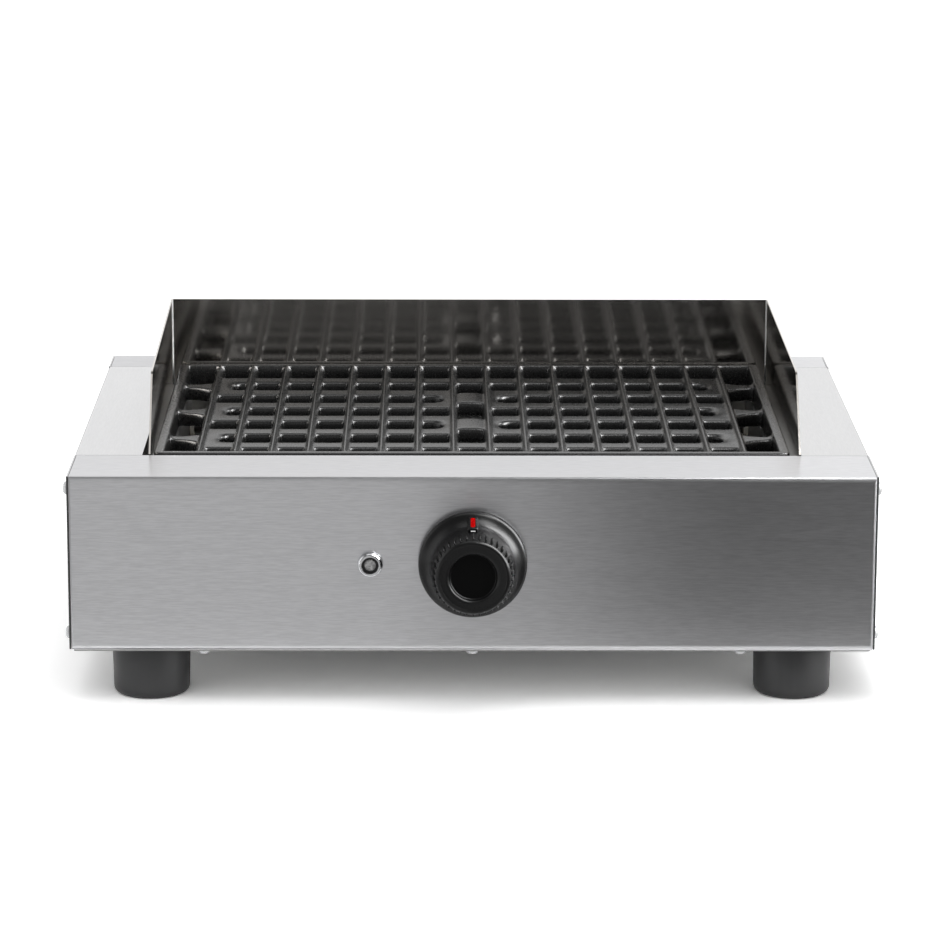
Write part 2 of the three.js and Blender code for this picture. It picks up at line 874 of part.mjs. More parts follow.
// A filled cell of the grate with an opening that is square at one rib and round towards the other.
function roundEndedCell(column, row, side) {
  const x = column * ribPitch;
  const y = rowY(row);
  const flatX = x - side * (ribPitch / 2 - ribBase / 2);
  const isBesideMiddle = Math.abs(column) === 1;
  const tipInset = isBesideMiddle ? middleTipInset : outerTipInset;
  const tipX = x + side * (ribPitch / 2 - ribBase / 2 - tipInset);
  const reach = Math.abs(tipX - flatX) * roundEndShare;
  const shoulder = tipX - side * reach;
  const halfLength = holeLength / 2 - roundEndMargin;
  const curve = Array.from({ length: halfTurnSteps + 1 }, (_, k) => {
    const angle = -Math.PI / 2 + (Math.PI * k) / halfTurnSteps;
    return [shoulder + side * reach * Math.cos(angle), y + halfLength * Math.sin(angle)];
  });
  const far = flatX - side * ribBase;
  const points = [[far, y - halfLength], ...curve, [far, y + halfLength]];
  const hole = points.map(([u, v]) => new THREE.Vector2(u, v));
  const half = ribPitch / 2;
  const top = slabTop - fillDrop;
  const bottom = barBottom + fillDrop;
  const fill = block(x - half, x + half, y - rowPitch / 2, y + rowPitch / 2, bottom, top);
  return fill.subtract(drawnOut(hole, alongZ, slabBottom - overrun, slabTop + overrun));
}

// A web from the rim to the outermost rib, narrow at the rim and drawn in along a curve.
function waistedWeb(row, side) {
  const y = rowY(row);
  const rimX = side * (innerHalfWidth + overrun);
  const ribX = side * outerRib;
  const edge = (direction) =>
    new THREE.QuadraticBezierCurve(
      new THREE.Vector2(rimX, y + (direction * rimWebWidth) / 2),
      new THREE.Vector2(rimX + (ribX - rimX) * webCurveShare, y + (direction * rimWebWidth) / 2),
      new THREE.Vector2(ribX, y + (direction * ribWebWidth) / 2),
    ).getPoints(halfTurnSteps / 2);
  return drawnOut([...edge(-1), ...edge(1).reverse()], alongZ, barBottom, slabTop);
}

function grateSolid() {
  const rim = drawnOut(
    roundedRectangle(grateHalfWidth, grateLength / 2, grateCorner, 0, grateMiddle),
    alongZ,
    -grateThickness,
    0,
  );
  const inside = roundedRectangle(innerHalfWidth, innerLength / 2, 0, 0, grateMiddle);
  const frame = rim.subtract(drawnOut(inside, alongZ, -grateThickness - overrun, overrun));
  const ribs = Array.from({ length: ribCount }, (_, k) => castRib(ribPitch * k - outerRib));
  const plates = plateRows.map((row) =>
    castBar(-middleRib, middleRib, rowY(row), middlePlateLength, slabTop + middlePlateRise),
  );
  const besideMiddle = plateRows.flatMap((row) => [
    roundEndedCell(-1, row, 1),
    roundEndedCell(1, row, -1),
  ]);
  const lastColumn = ribCount / 2 - 1;
  const besideWebs = oddRows.flatMap((row) => [
    roundEndedCell(-lastColumn, row, -1),
    roundEndedCell(lastColumn, row, 1),
  ]);
  const webs = oddRows.flatMap((row) => [waistedWeb(row, -1), waistedWeb(row, 1)]);
  return joined([frame, ...ribs, ...castBars(), ...plates, ...besideMiddle, ...besideWebs, ...webs]);
}
piece("grate", grateSolid(), "enamel");

// Windshield: one polished sheet bent round the back and sides of the grate, standing on the well's ledge

const windFront = grateFront - windFrontLead;
const windRear = grateRear + windRearGap + windSheet;
const windHalfWidth = openingHalfWidth - windSideGap - windShift;

function windshield() {
  const bottom = ledge + seatGap;
  const line = [
    [windShift + windHalfWidth, windFront],
    [windShift + windHalfWidth, windRear],
    [windShift - windHalfWidth, windRear],
    [windShift - windHalfWidth, windFront],
  ];
  const plan = drawnOut(foldedSheet(line, windSheet), alongZ, bottom, windRise);
  const profile = outline([
    [windFront - overrun, bottom - overrun],
    [windRear + overrun, bottom - overrun],
    [windRear + overrun, windRise + overrun],
    [windRear, windRise],
    [windFront + windSlope, windRise, windCorner],
    [windFront, 0],
    [windFront - overrun, 0],
  ]);
  const reach = windHalfWidth + windShift + overrun;
  return plan.intersect(drawnOut(profile, alongX, -reach, reach));
}
piece("windshield", windshield(), "darkSteel");

// Heating element: one tube bent to and fro, whose straight ends are trunnions at the back of the sump

const outerLeg = sumpHalfWidth - elementSideGap;
const legPitch = (outerLeg * 2) / (legCount - 1);
const frontLine = sumpFront + elementFrontGap;
const rearLine = pivotY - elementRearGap - tubeRadius * 2;
const trunnionEnd = sumpHalfWidth + wellSheet + trunnionReach;

// Points of a bend about a centre, in a level plane, from one angle to another.
function bend(x, y, radius, from, to) {
  return Array.from({ length: halfTurnSteps + 1 }, (_, k) => {
    const angle = from + ((to - from) * k) / halfTurnSteps;
    return new THREE.Vector3(x + radius * Math.cos(angle), y + radius * Math.sin(angle), elementLevel);
  });
}

function elementStations() {
  const quarter = Math.PI / 2;
  const turnRadius = legPitch / 2;
  const stations = [new THREE.Vector3(-trunnionEnd, pivotY, elementLevel)];
  stations.push(...bend(-outerLeg - endBend, pivotY - endBend, endBend, quarter, 0));
  for (let leg = 0; leg < legCount - 1; leg += 1) {
    const x = -outerLeg + legPitch * (leg + 1 / 2);
    const atFront = leg % 2 === 0;
    const y = atFront ? frontLine + turnRadius : rearLine - turnRadius;
    stations.push(...bend(x, y, turnRadius, Math.PI, atFront ? Math.PI * 2 : 0));
  }
  stations.push(...bend(outerLeg + endBend, pivotY - endBend, endBend, Math.PI, quarter));
  stations.push(new THREE.Vector3(trunnionEnd, pivotY, elementLevel));
  return stations;
}

const stations = elementStations();
const elementTube = pipe(new BentWire(stations), tubeRadius, tubeSides, stations.length - 1);
piece("heating_element", elementTube, "element");

// A strip under the legs with a clip over each of them.
function elementBar(y) {
  const under = elementLevel - tubeRadius - seatGap;
  const clipInner = tubeRadius + seatGap;
  const clipOuter = clipInner + clipWall;
  const end = outerLeg + clipOuter;
  const strip = block(-end, end, y - barStrip / 2, y + barStrip / 2, under - barSheet, under);
  const clips = Array.from({ length: legCount }, (_, k) => {
    const x = legPitch * k - outerLeg;
    const front = y - clipWidth / 2;
    const back = y + clipWidth / 2;
    const post = block(x - clipOuter, x + clipOuter, front, back, under - barSheet, elementLevel);
    return rod(clipOuter, clipWidth, clipSides, towardsBack, [x, front, elementLevel]).add(post);
  });
  const bores = Array.from({ length: legCount }, (_, k) => {
    const x = legPitch * k - outerLeg;
    const long = clipWidth + overrun * 2;
    const start = [x, y - long / 2, elementLevel];
    return rod(clipInner / Math.cos(Math.PI / clipSides), long, clipSides, towardsBack, start);
  });
  return cut(joined([strip, ...clips]), bores);
}
const legLength = rearLine - frontLine;
piece("element_bar_front", elementBar(frontLine + legLength * frontBarShare), "wellSteel");
piece("element_bar_rear", elementBar(frontLine + legLength * rearBarShare), "wellSteel");

// The front bends lie on an angle fixed to the sump's front wall.
const restLevel = elementLevel - tubeRadius - seatGap;
const restSection = foldedSheet(
  [
    [sumpFront + restTab, restLevel],
    [sumpFront + seatGap, restLevel],
    [sumpFront + seatGap, restLevel - restHeight],
  ],
  barSheet,
);
piece("element_rest", drawnOut(restSection, alongX, -outerLeg, outerLeg), "wellSteel");

for (const [name, side] of Object.entries(sides)) {
  const inside = -bushFlange;
  const outside = wellSheet + bushSleeve;
  const bore = tubeRadius / Math.cos(Math.PI / tubeSides) + runningGap;
  const bush = [
    [bore, inside - seatGap],
    [bushFlangeRadius, inside - seatGap],
    [bushFlangeRadius, -seatGap],
    [bushRadius, -seatGap],
    [bushRadius, outside],
    [bore, outside],
    [bore, inside - seatGap],
  ];
  const axis = side > 0 ? towardsRight : towardsLeft;
  const at = [sumpHalfWidth * side, pivotY, elementLevel];
  piece(`element_bush_${name}`, turned(bush, roundSides / 2, axis, at), "ceramic");
  const pinAt = [(trunnionEnd + seatGap) * side, pivotY, elementLevel];
  const pin = rod(terminalRadius, terminalReach, screwSides, axis, pinAt);
  piece(`terminal_pin_${name}`, pin, "zinc");
}

// Control knob, its red pointer and the spindle that it grips

const knobAxis = [0, 0, -knobDrop];
const coneLevel = knobGap + knobSkirt + knobStep;
const neckLevel = knobReach * knobNeckShare;
const coneRadius = (level) =>
  knobWaistRadius + ((knobNeckRadius - knobWaistRadius) * (level - coneLevel)) / (neckLevel - coneLevel);

// The spindle's round bar with a flat along it, grown by a gap.
function spindleBar(gap, from, to, sidesCount) {
  const radius = spindleRadius + gap;
  const bar = rod(radius, to - from, sidesCount, towardsFront, [0, -from, -knobDrop]);
  const flat = spindleRadius - spindleFlat + gap;
  const waste = block(-radius, radius, -to, -from, -knobDrop + flat, -knobDrop + radius + overrun);
  return bar.subtract(waste);
}

// A bar along the top of the knob's cone, between two levels and two heights over the cone.
function coneBar(width, start, end, inner, outer) {
  const corner = (level, offset) => new THREE.Vector2(-level, -knobDrop + coneRadius(level) + offset);
  const section = [corner(start, outer), corner(end, outer), corner(end, inner), corner(start, inner)];
  return drawnOut(section, alongX, -width / 2, width / 2);
}

// The pointer, or the notch that it lies in, which is larger by a gap.
function pointerBar(gap, height) {
  const end = pointerLevel + pointerLength + gap;
  return coneBar(pointerWidth + gap * 2, pointerLevel - gap, end, -pointerDepth - gap, height);
}

function knobSolid() {
  const underCap = knobReach - knobDishDepth - knobWall;
  const front = knobReach;
  const profile = [
    [0, knobGap + knobStep],
    [hubRadius, knobGap + knobStep],
    [hubRadius + knobStep / 2, underCap],
    [knobNeckRadius - knobWall - knobStep, underCap],
    [knobWaistRadius - knobWall, coneLevel],
    [knobSkirtRadius - knobWall, knobGap],
    [knobSkirtRadius, knobGap],
    [knobSkirtRadius, knobGap + knobSkirt],
    [knobWaistRadius, coneLevel],
    [knobNeckRadius, neckLevel],
    [knobCapRadius + knobEdge * neckFlareShare, (neckLevel + front - knobEdge) / 2],
    [knobCapRadius, front - knobEdge],
    [knobCapRadius - knobEdge * edgeShare, front - knobEdge * edgeShare],
    [knobCapRadius - knobEdge, front],
    [knobDishRadius, front],
    [knobDishRadius - knobStep, front - knobDishDepth],
    [0, front - knobDishDepth],
  ];
  const body = turned(profile, roundSides, towardsFront, knobAxis);
  const grips = Array.from({ length: gripCount }, (_, k) => {
    const geometry = new THREE.BoxGeometry(gripWidth, gripLength, gripProud * 2);
    geometry.translate(0, -gripLevel, knobCapRadius);
    geometry.rotateY((2 * Math.PI * (k + 1 / 2)) / gripCount);
    geometry.translate(...knobAxis);
    return solidOf(geometry);
  });
  const tab = coneBar(knobTabWidth, knobTabLevel, knobTabLevel + knobTabLength, -knobTabRise, knobTabRise);
  const bore = spindleBar(runningGap, knobGap - overrun, spindleGrip + runningGap, screwSides);
  const notch = pointerBar(seatGap, knobTabRise + overrun);
  return cut(joined([body, tab, ...grips]), [bore, notch]);
}
piece("knob", knobSolid(), "blackPlastic");
piece("knob_pointer", pointerBar(0, knobTabRise + pointerProud), "redPlastic");
piece("regulator_spindle", spindleBar(0, -spindleDepth, spindleGrip, screwSides), "zinc");

// Energy regulator behind the face, with its collar through the panel and its tabs at the back

function regulator() {
  const front = sheet + seatGap;
  const half = regulatorSize / 2;
  const middle = -knobDrop;
  const back = front + regulatorDepth;
  const tab = (k) => {
    const x = (k - (regulatorTabCount - 1) / 2) * (regulatorTab + regulatorTabGap);
    const x0 = x - regulatorTab / 2;
    return block(x0, x0 + regulatorTab, back - overrun, back + regulatorTab, middle, middle + tabSheet);
  };
  const tabs = Array.from({ length: regulatorTabCount }, (_, k) => tab(k));
  const body = block(-half, half, front, back, middle - half, middle + half);
  const collarStart = [0, front + overrun, middle];
  const collar = rod(regulatorCollar, front + overrun, roundSides / 2, towardsFront, collarStart);
  const hole = (radius, x, depth) => {
    return rod(radius, depth + overrun * 2, screwSides, towardsFront, [x, depth, middle]);
  };
  const holes = [
    hole(spindleRadius + runningGap, 0, spindleDepth + seatGap),
    hole(screwHole, -regulatorScrewOffset, screwLength + overrun),
    hole(screwHole, regulatorScrewOffset, screwLength + overrun),
  ];
  return cut(joined([body, collar, ...tabs]), holes);
}
piece("energy_regulator", regulator(), "greyPlastic");
for (const [name, side] of Object.entries(sides)) {
  const at = [regulatorScrewOffset * side, -seatGap, -knobDrop];
  screw(`regulator_screw_${name}`, shortScrew, at, towardsFront);
}

// Pilot lamp

const lampAxis = [-lampOffset, 0, -lampDrop];
const bezel = [
  [lampLensRadius + seatGap, seatGap],
  [lampBezelRadius, seatGap],
  [lampBezelRadius, lampBezelBase],
  [lampBezelTopRadius + lampBezelEdge, lampBezelRise - lampBezelEdge],
  [lampBezelTopRadius, lampBezelRise],
  [lampRecessRadius, lampBezelRise],
  [lampLensRadius + seatGap, lampBezelRise - lampRecess],
  [lampLensRadius + seatGap, seatGap],
];
piece("lamp_bezel", turned(bezel, roundSides, towardsFront, lampAxis), "chrome");
const lensEdge = lampBezelRise - lampRecess - seatGap;
const lensTop = lampBezelRise - seatGap;
const lens = [
  [0, seatGap],
  [lampLensRadius, seatGap],
  [lampLensRadius, lensEdge],
  [lampLensRadius * lensShoulderShare, lensEdge + (lensTop - lensEdge) * lensLevelShare],
  [0, lensTop],
];
piece("lamp_lens", turned(lens, roundSides / 2, towardsFront, lampAxis), "lens");
const lampBody = rod(lampBodyRadius, lampBodyLength, roundSides / 2, towardsBack, lampAxis);
piece("lamp_body", lampBody, "greyPlastic");

// A six-sided nut round a threaded body, towards the back from a place.
function backNut(bodyRadius, nutRadius, height, [x, y, z]) {
  const long = height + overrun * 2;
  const bore = rod(bodyRadius + seatGap, long, roundSides / 2, towardsBack, [x, y - overrun, z]);
  return rod(nutRadius, height, nutSides, towardsBack, [x, y, z]).subtract(bore);
}
const lampNutPlace = [-lampOffset, sheet + seatGap, -lampDrop];
piece("lamp_nut", backNut(lampBodyRadius, lampNutRadius, lampNut, lampNutPlace), "brass");

// Supply entry at the back, terminal block, heat shield and the element's leads

const glandAxis = [glandOffset, bodyDepth, -glandDrop];
const gland = [
  [glandBore, -sheet - glandInside],
  [glandRadius, -sheet - glandInside],
  [glandRadius, seatGap],
  [glandFlangeRadius, seatGap],
  [glandFlangeRadius, seatGap + glandWall],
  [glandRadius, seatGap + glandWall * 2],
  [glandRadius - glandWall / 2, glandReach],
  [glandBore, glandReach],
  [glandBore, -sheet - glandInside],
];
piece("cable_gland", turned(gland, roundSides / 2, towardsBack, glandAxis), "blackPlastic");
const glandNutPlace = [glandOffset, bodyDepth - sheet - seatGap - glandWall, -glandDrop];
piece("gland_nut", backNut(glandRadius, glandFlangeRadius, glandWall, glandNutPlace), "blackPlastic");

function terminalBlock() {
  const bottom = plateTop + seatGap;
  const left = sumpHalfWidth + wellSheet + blockSideGap;
  const middle = bodyDepth - blockRearInset;
  const front = middle - blockDepth / 2;
  const body = block(left, left + blockWidth, front, front + blockDepth, bottom, bottom + blockHeight);
  const bores = Array.from({ length: blockTerminals }, (_, k) => {
    const x = left + ((k + 1 / 2) * blockWidth) / blockTerminals;
    const long = blockDepth + overrun * 2;
    const at = [x, middle - long / 2, bottom + blockHeight / 2];
    return rod(blockBore, long, screwSides, towardsBack, at);
  });
  return cut(body, bores);
}
piece("terminal_block", terminalBlock(), "ceramic");

const shieldY = sumpFront - wellSheet - shieldGap;
const shieldSection = foldedSheet(
  [
    [shieldY, plateTop + seatGap + shieldHeight],
    [shieldY, plateTop + seatGap],
    [shieldY - shieldLip, plateTop + seatGap],
  ],
  shieldSheet,
);
const shieldHalfWidth = halfWidth - shieldInset;
piece("heat_shield", drawnOut(shieldSection, alongX, -shieldHalfWidth, shieldHalfWidth), "wellSteel");

// A lead from the element's terminal pin along the side of the well to the regulator's outer tab.
function heaterLead(side) {
  const start = trunnionEnd + terminalReach + seatGap * 2;
  const lane = halfWidth - sheet - leadInset;
  const tabX = ((regulatorTabCount - 1) / 2) * (regulatorTab + regulatorTabGap);
  const end = sheet + seatGap + regulatorDepth + regulatorTab + seatGap;
  const stretch = shieldY - end;
  const route = [
    [start, pivotY, elementLevel],
    [start + leadRadius * 2, pivotY, elementLevel],
    [lane, pivotY - leadInset, elementLevel - leadRise],
    [lane, pivotY - leadInset * 3, elementLevel - leadRise * 3],
    [lane, sumpFront, elementLevel - leadRise * 4],
    [lane - leadInset, end + stretch / 2, elementLevel - leadRise * 4],
    [tabX + leadInset, end + stretch / 2, -knobDrop - leadRise],
    [tabX, end + leadRadius * 2, -knobDrop + tabSheet / 2],
    [tabX, end, -knobDrop + tabSheet / 2],
  ];
  const points = route.map(([x, y, z]) => new THREE.Vector3(x * side, y, z));
  const curve = new THREE.CatmullRomCurve3(points, false, "centripetal");
  return pipe(curve, leadRadius, leadSides, leadSteps);
}
for (const [name, side] of Object.entries(sides)) {
  piece(`heater_lead_${name}`, heaterLead(side), "wire");
}

export default grill;
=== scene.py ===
# Looks for a countertop electric grill: brushed steel body, cast grate, dark windshield, one control knob.
# Sizes in the pieces' dictionaries are millimetres. x runs to the right, y back from the front face and
# z up from the deck.
import json
import math
import bmesh
import bpy
from mathutils import Matrix, Vector

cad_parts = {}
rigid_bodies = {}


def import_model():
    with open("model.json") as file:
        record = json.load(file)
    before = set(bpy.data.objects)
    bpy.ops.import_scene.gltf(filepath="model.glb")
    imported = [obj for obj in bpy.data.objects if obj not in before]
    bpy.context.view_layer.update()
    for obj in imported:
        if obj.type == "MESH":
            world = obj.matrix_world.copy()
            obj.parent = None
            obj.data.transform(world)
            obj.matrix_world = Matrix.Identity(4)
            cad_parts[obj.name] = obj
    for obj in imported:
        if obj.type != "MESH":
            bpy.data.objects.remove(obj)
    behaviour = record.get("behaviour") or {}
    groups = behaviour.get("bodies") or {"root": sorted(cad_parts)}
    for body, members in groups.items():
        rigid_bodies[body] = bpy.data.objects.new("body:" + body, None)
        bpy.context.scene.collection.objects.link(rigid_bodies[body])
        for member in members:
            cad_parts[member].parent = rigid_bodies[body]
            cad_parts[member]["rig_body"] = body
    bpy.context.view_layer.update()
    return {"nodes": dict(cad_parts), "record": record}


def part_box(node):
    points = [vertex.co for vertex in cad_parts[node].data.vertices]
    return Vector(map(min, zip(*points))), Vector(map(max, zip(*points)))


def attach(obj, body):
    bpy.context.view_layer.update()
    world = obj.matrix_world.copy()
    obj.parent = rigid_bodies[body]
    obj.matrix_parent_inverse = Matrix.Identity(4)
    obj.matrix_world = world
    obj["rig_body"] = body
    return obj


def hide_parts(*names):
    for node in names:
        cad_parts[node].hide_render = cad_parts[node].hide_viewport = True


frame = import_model()
nodes = frame["nodes"]
scene = bpy.context.scene
print("frame loaded:", len(nodes), "nodes")

grillOrigin = {"frontFace": -186.0, "deckTop": 155.0}  # where the front face and the deck lie in the frame


def place(x, y, z):
    return Vector((x, y + grillOrigin["frontFace"], z + grillOrigin["deckTop"])) / 1000


# Camera at the photograph's viewing angle
photoCamera = {
    "lens": 151.58,
    "sensor": 36,
    "farthest": 100,
    "pitch": 13.372,
    "yaw": -0.543,
    "roll": 0.183,
    "position": (-0.0231, -2.7669, 0.7703),
}


def makeCamera():
    data = bpy.data.cameras.new("photoCamera")
    data.lens = photoCamera["lens"]
    data.sensor_width = photoCamera["sensor"]
    data.clip_end = photoCamera["farthest"]
    camera = bpy.data.objects.new("photoCamera", data)
    scene.collection.objects.link(camera)
    turn = Matrix.Rotation(math.radians(photoCamera["yaw"]), 4, "Z")
    turn = turn @ Matrix.Rotation(math.radians(90 - photoCamera["pitch"]), 4, "X")
    turn = turn @ Matrix.Rotation(math.radians(photoCamera["roll"]), 4, "Z")
    camera.matrix_world = Matrix.Translation(photoCamera["position"]) @ turn
    scene.camera = camera


makeCamera()
scene.view_settings.view_transform = "Standard"


# Node and colour helpers
def addNode(tree, kind, settings=None, links=None):
    node = tree.nodes.new(kind)
    for key, value in (settings or {}).items():
        if isinstance(key, int) or key[0].isupper():
            node.inputs[key].default_value = value
        else:
            setattr(node, key, value)
    for key, source in (links or {}).items():
        tree.links.new(source, node.inputs[key])
    return node


def colour(hexValue):
    channels = [((hexValue >> shift) & 255) / 255 for shift in (16, 8, 0)]
    return tuple(c / 12.92 if c <= 0.04045 else ((c + 0.055) / 1.055) ** 2.4 for c in channels) + (1.0,)


def emptyMaterial(name):
    material = bpy.data.materials.new(name)
    material.use_nodes = True
    material.node_tree.nodes.clear()
    return material, material.node_tree


# Studio, in metres
studio = {
    "floorSize": 40.0,
    "floorMatt": 0.8,        # how much light the floor gives back to the object
    "floorSeen": 1.6,        # the same for the camera, so that the floor reads as white and keeps the shadow
    "worldFill": 0.75,       # what the surroundings give to matt surfaces
    "horizonTone": 1.15,
    "overheadTone": 0.16,    # the dark ceiling that polished bends and edges show
    "overheadFrom": 0.42,    # sine of the height at which the ceiling starts to show
    "overheadTo": 0.85,
    "frontTone": 0.2,        # the room behind the camera is darker than the backdrop
    "frontFrom": -0.25,
    "frontTo": -0.7,
    "topPower": 13.0,
    "topSize": (2.2, 2.2),
    "topPlace": (0.0, -0.3, 2.6),
    "keyPower": 115.0,
    "keySize": (0.9, 2.4),
    "keyPlace": (1.6, -0.5, 1.25),
    "rimPower": 9.0,
    "rimSize": (0.7, 0.7),
    "rimPlace": (1.5, 1.2, 1.3),
    "frontPower": 15.0,
    "frontSize": (0.8, 0.8),
    "frontPlace": (0.75, -1.2, 1.8),
    "lampTarget": (0.0, 0.0, 0.1),
}
# Grey cards on the floor, each laid out as the front one and then turned about the grill by its angle.
# A card's near edge is nearShare of its span wide. Its tone fades from the first to the second across it.
cards = {
    "front": {
        "turn": 0, "span": (-1.3, 1.3), "nearShare": 0.35, "near": 0.24, "far": 3.6,
        "height": 1.3, "lift": 0.002, "tones": (0xC0C0C0, 0x080808), "fade": (-0.075, 0.2), "nearTone": 0.72,
    },
    "left": {
        "turn": -90, "span": (-2.2, 0.7), "nearShare": 1, "near": 0.29, "far": 2.6,
        "height": 0, "lift": 0.0015, "tones": (0xC4C4C4, 0xF4F4F4), "fade": (-0.4, 0.3), "nearTone": 1.0,
    },
    "right": {
        "turn": 90, "span": (-0.7, 2.2), "nearShare": 1, "near": 0.29, "far": 2.6,
        "height": 0, "lift": 0.0015, "tones": (0xFAFAFA, 0xBEBEBE), "fade": (-0.3, 0.4), "nearTone": 1.0,
    },
    "rear": {
        "turn": 180, "span": (-2.2, 2.2), "nearShare": 1, "near": 0.25, "far": 3.6,
        "height": 0, "lift": 0.001, "tones": (0xDEDEDE, 0xB4B4B4), "fade": (-0.5, 0.6), "nearTone": 1.0,
    },
}
nearStrip = (-0.62, -0.3)


def seenRays(tree):
    # One for the rays that show a surface itself: camera, glossy and transmission rays.
    path = addNode(tree, "ShaderNodeLightPath")
    seen = addNode(tree, "ShaderNodeMath", {"operation": "MAXIMUM"},
                   {0: path.outputs["Is Camera Ray"], 1: path.outputs["Is Glossy Ray"]})
    return addNode(tree, "ShaderNodeMath", {"operation": "MAXIMUM"},
                   {0: seen.outputs[0], 1: path.outputs["Is Transmission Ray"]})


def stageObject(name, bm, material):
    mesh = bpy.data.meshes.new(name)
    bm.to_mesh(mesh)
    bm.free()
    mesh.materials.append(material)
    thing = bpy.data.objects.new(name, mesh)
    scene.collection.objects.link(thing)
    return thing


def makeFloor():
    bm = bmesh.new()
    bmesh.ops.create_grid(bm, x_segments=1, y_segments=1, size=studio["floorSize"] / 2)
    material, tree = emptyMaterial("paleFloor")
    tone = addNode(tree, "ShaderNodeMapRange", {"To Min": studio["floorMatt"], "To Max": studio["floorSeen"]},
                   {"Value": seenRays(tree).outputs[0]})
    matt = addNode(tree, "ShaderNodeBsdfDiffuse", {}, {"Color": tone.outputs[0]})
    addNode(tree, "ShaderNodeOutputMaterial", {}, {"Surface": matt.outputs[0]})
    stageObject("floor", bm, material)


def makeWorld():
    # White round the horizon, as the backdrop is, dark overhead and darker in front.
    # Matt surfaces get an even fill.
    world = bpy.data.worlds.new("studio")
    scene.world = world
    world.use_nodes = True
    tree = world.node_tree
    tree.nodes.clear()
    where = addNode(tree, "ShaderNodeTexCoord")
    axes = addNode(tree, "ShaderNodeSeparateXYZ", {}, {0: where.outputs["Generated"]})
    shown = addNode(tree, "ShaderNodeMapRange",
                    {"interpolation_type": "SMOOTHSTEP",
                     "From Min": studio["overheadFrom"], "From Max": studio["overheadTo"],
                     "To Min": studio["horizonTone"], "To Max": studio["overheadTone"]},
                    {"Value": axes.outputs["Z"]})
    front = addNode(tree, "ShaderNodeMapRange",
                    {"interpolation_type": "SMOOTHSTEP",
                     "From Min": studio["frontFrom"], "From Max": studio["frontTo"],
                     "To Min": 1.0, "To Max": studio["frontTone"]},
                    {"Value": axes.outputs["Y"]})
    tone = addNode(tree, "ShaderNodeMath", {"operation": "MULTIPLY"},
                   {0: shown.outputs[0], 1: front.outputs[0]})
    level = addNode(tree, "ShaderNodeMix", {"data_type": "FLOAT", 2: studio["worldFill"]},
                    {0: seenRays(tree).outputs[0], 3: tone.outputs[0]})
    sky = addNode(tree, "ShaderNodeBackground", {"Color": (1, 1, 1, 1)}, {"Strength": level.outputs[0]})
    addNode(tree, "ShaderNodeOutputWorld", {}, {"Surface": sky.outputs[0]})


def makeSoftbox(name, matt):
    # A softbox. One that is not matt shows only in reflections, so it adds no shadow.
    data = bpy.data.lights.new(name + "Lamp", "AREA")
    data.shape = "RECTANGLE"
    data.size, data.size_y = studio[name + "Size"]
    data.energy = studio[name + "Power"]
    softbox = bpy.data.objects.new(name + "Lamp", data)
    softbox.visible_diffuse = matt
    scene.collection.objects.link(softbox)
    position = Vector(studio[name + "Place"])
    aim = (Vector(studio["lampTarget"]) - position).to_track_quat("-Z", "Y")
    softbox.matrix_world = Matrix.Translation(position) @ aim.to_matrix().to_4x4()


def makeCard(name):
    # A grey card seen only in reflections, which gives the steel its tones.
    # One with a height stands up at its far end.
    card = cards[name]
    bm = bmesh.new()
    bmesh.ops.create_grid(bm, x_segments=1, y_segments=1, size=0.5)
    left, right = card["span"]
    bmesh.ops.scale(bm, vec=(right - left, card["far"] - card["near"], 1), verts=bm.verts)
    middle = ((left + right) / 2, -(card["near"] + card["far"]) / 2, card["lift"])
    bmesh.ops.translate(bm, vec=middle, verts=bm.verts)
    nearEdge = [vert for vert in bm.verts if vert.co.y > -card["far"] / 2]
    bmesh.ops.scale(bm, vec=(card["nearShare"], 1, 1), verts=nearEdge)
    if card["height"]:
        farEdge = min(bm.edges, key=lambda edge: edge.verts[0].co.y + edge.verts[1].co.y)
        raised = bmesh.ops.extrude_edge_only(bm, edges=[farEdge])
        top = [item for item in raised["geom"] if isinstance(item, bmesh.types.BMVert)]
        bmesh.ops.translate(bm, vec=(0, 0, card["height"]), verts=top)
    material, tree = emptyMaterial(name + "Card")
    where = addNode(tree, "ShaderNodeTexCoord")
    axes = addNode(tree, "ShaderNodeSeparateXYZ", {}, {0: where.outputs["Object"]})
    across = addNode(tree, "ShaderNodeMapRange",
                     {"interpolation_type": "SMOOTHSTEP",
                      "From Min": card["fade"][0], "From Max": card["fade"][1]},
                     {"Value": axes.outputs["X"]})
    # The strip of card next to the grill is less dark, as where the paler floor reaches under the body.
    near = addNode(tree, "ShaderNodeMapRange",
                   {"interpolation_type": "SMOOTHSTEP", "From Min": nearStrip[0], "From Max": nearStrip[1],
                    "To Min": 1.0, "To Max": card["nearTone"]}, {"Value": axes.outputs["Y"]})
    blend = addNode(tree, "ShaderNodeMath", {"operation": "MULTIPLY"},
                    {0: across.outputs[0], 1: near.outputs[0]})
    tone = addNode(tree, "ShaderNodeMix",
                   {"data_type": "RGBA", 6: colour(card["tones"][0]), 7: colour(card["tones"][1])},
                   {0: blend.outputs[0]})
    glow = addNode(tree, "ShaderNodeEmission", {}, {"Color": tone.outputs[2]})
    addNode(tree, "ShaderNodeOutputMaterial", {}, {"Surface": glow.outputs[0]})
    thing = stageObject(name + "Card", bm, material)
    thing.rotation_euler.z = math.radians(card["turn"])
    thing.visible_camera = False
    thing.visible_diffuse = False
    thing.visible_shadow = False
    thing.visible_transmission = False


makeFloor()
makeWorld()
for cardName in cards:
    makeCard(cardName)
for softboxName, matt in (("top", True), ("key", False), ("rim", False), ("front", False)):
    makeSoftbox(softboxName, matt)
print("studio set")


# Materials
broadGrain = 5  # size of the broad streaks in a sheet, counted in fine ones


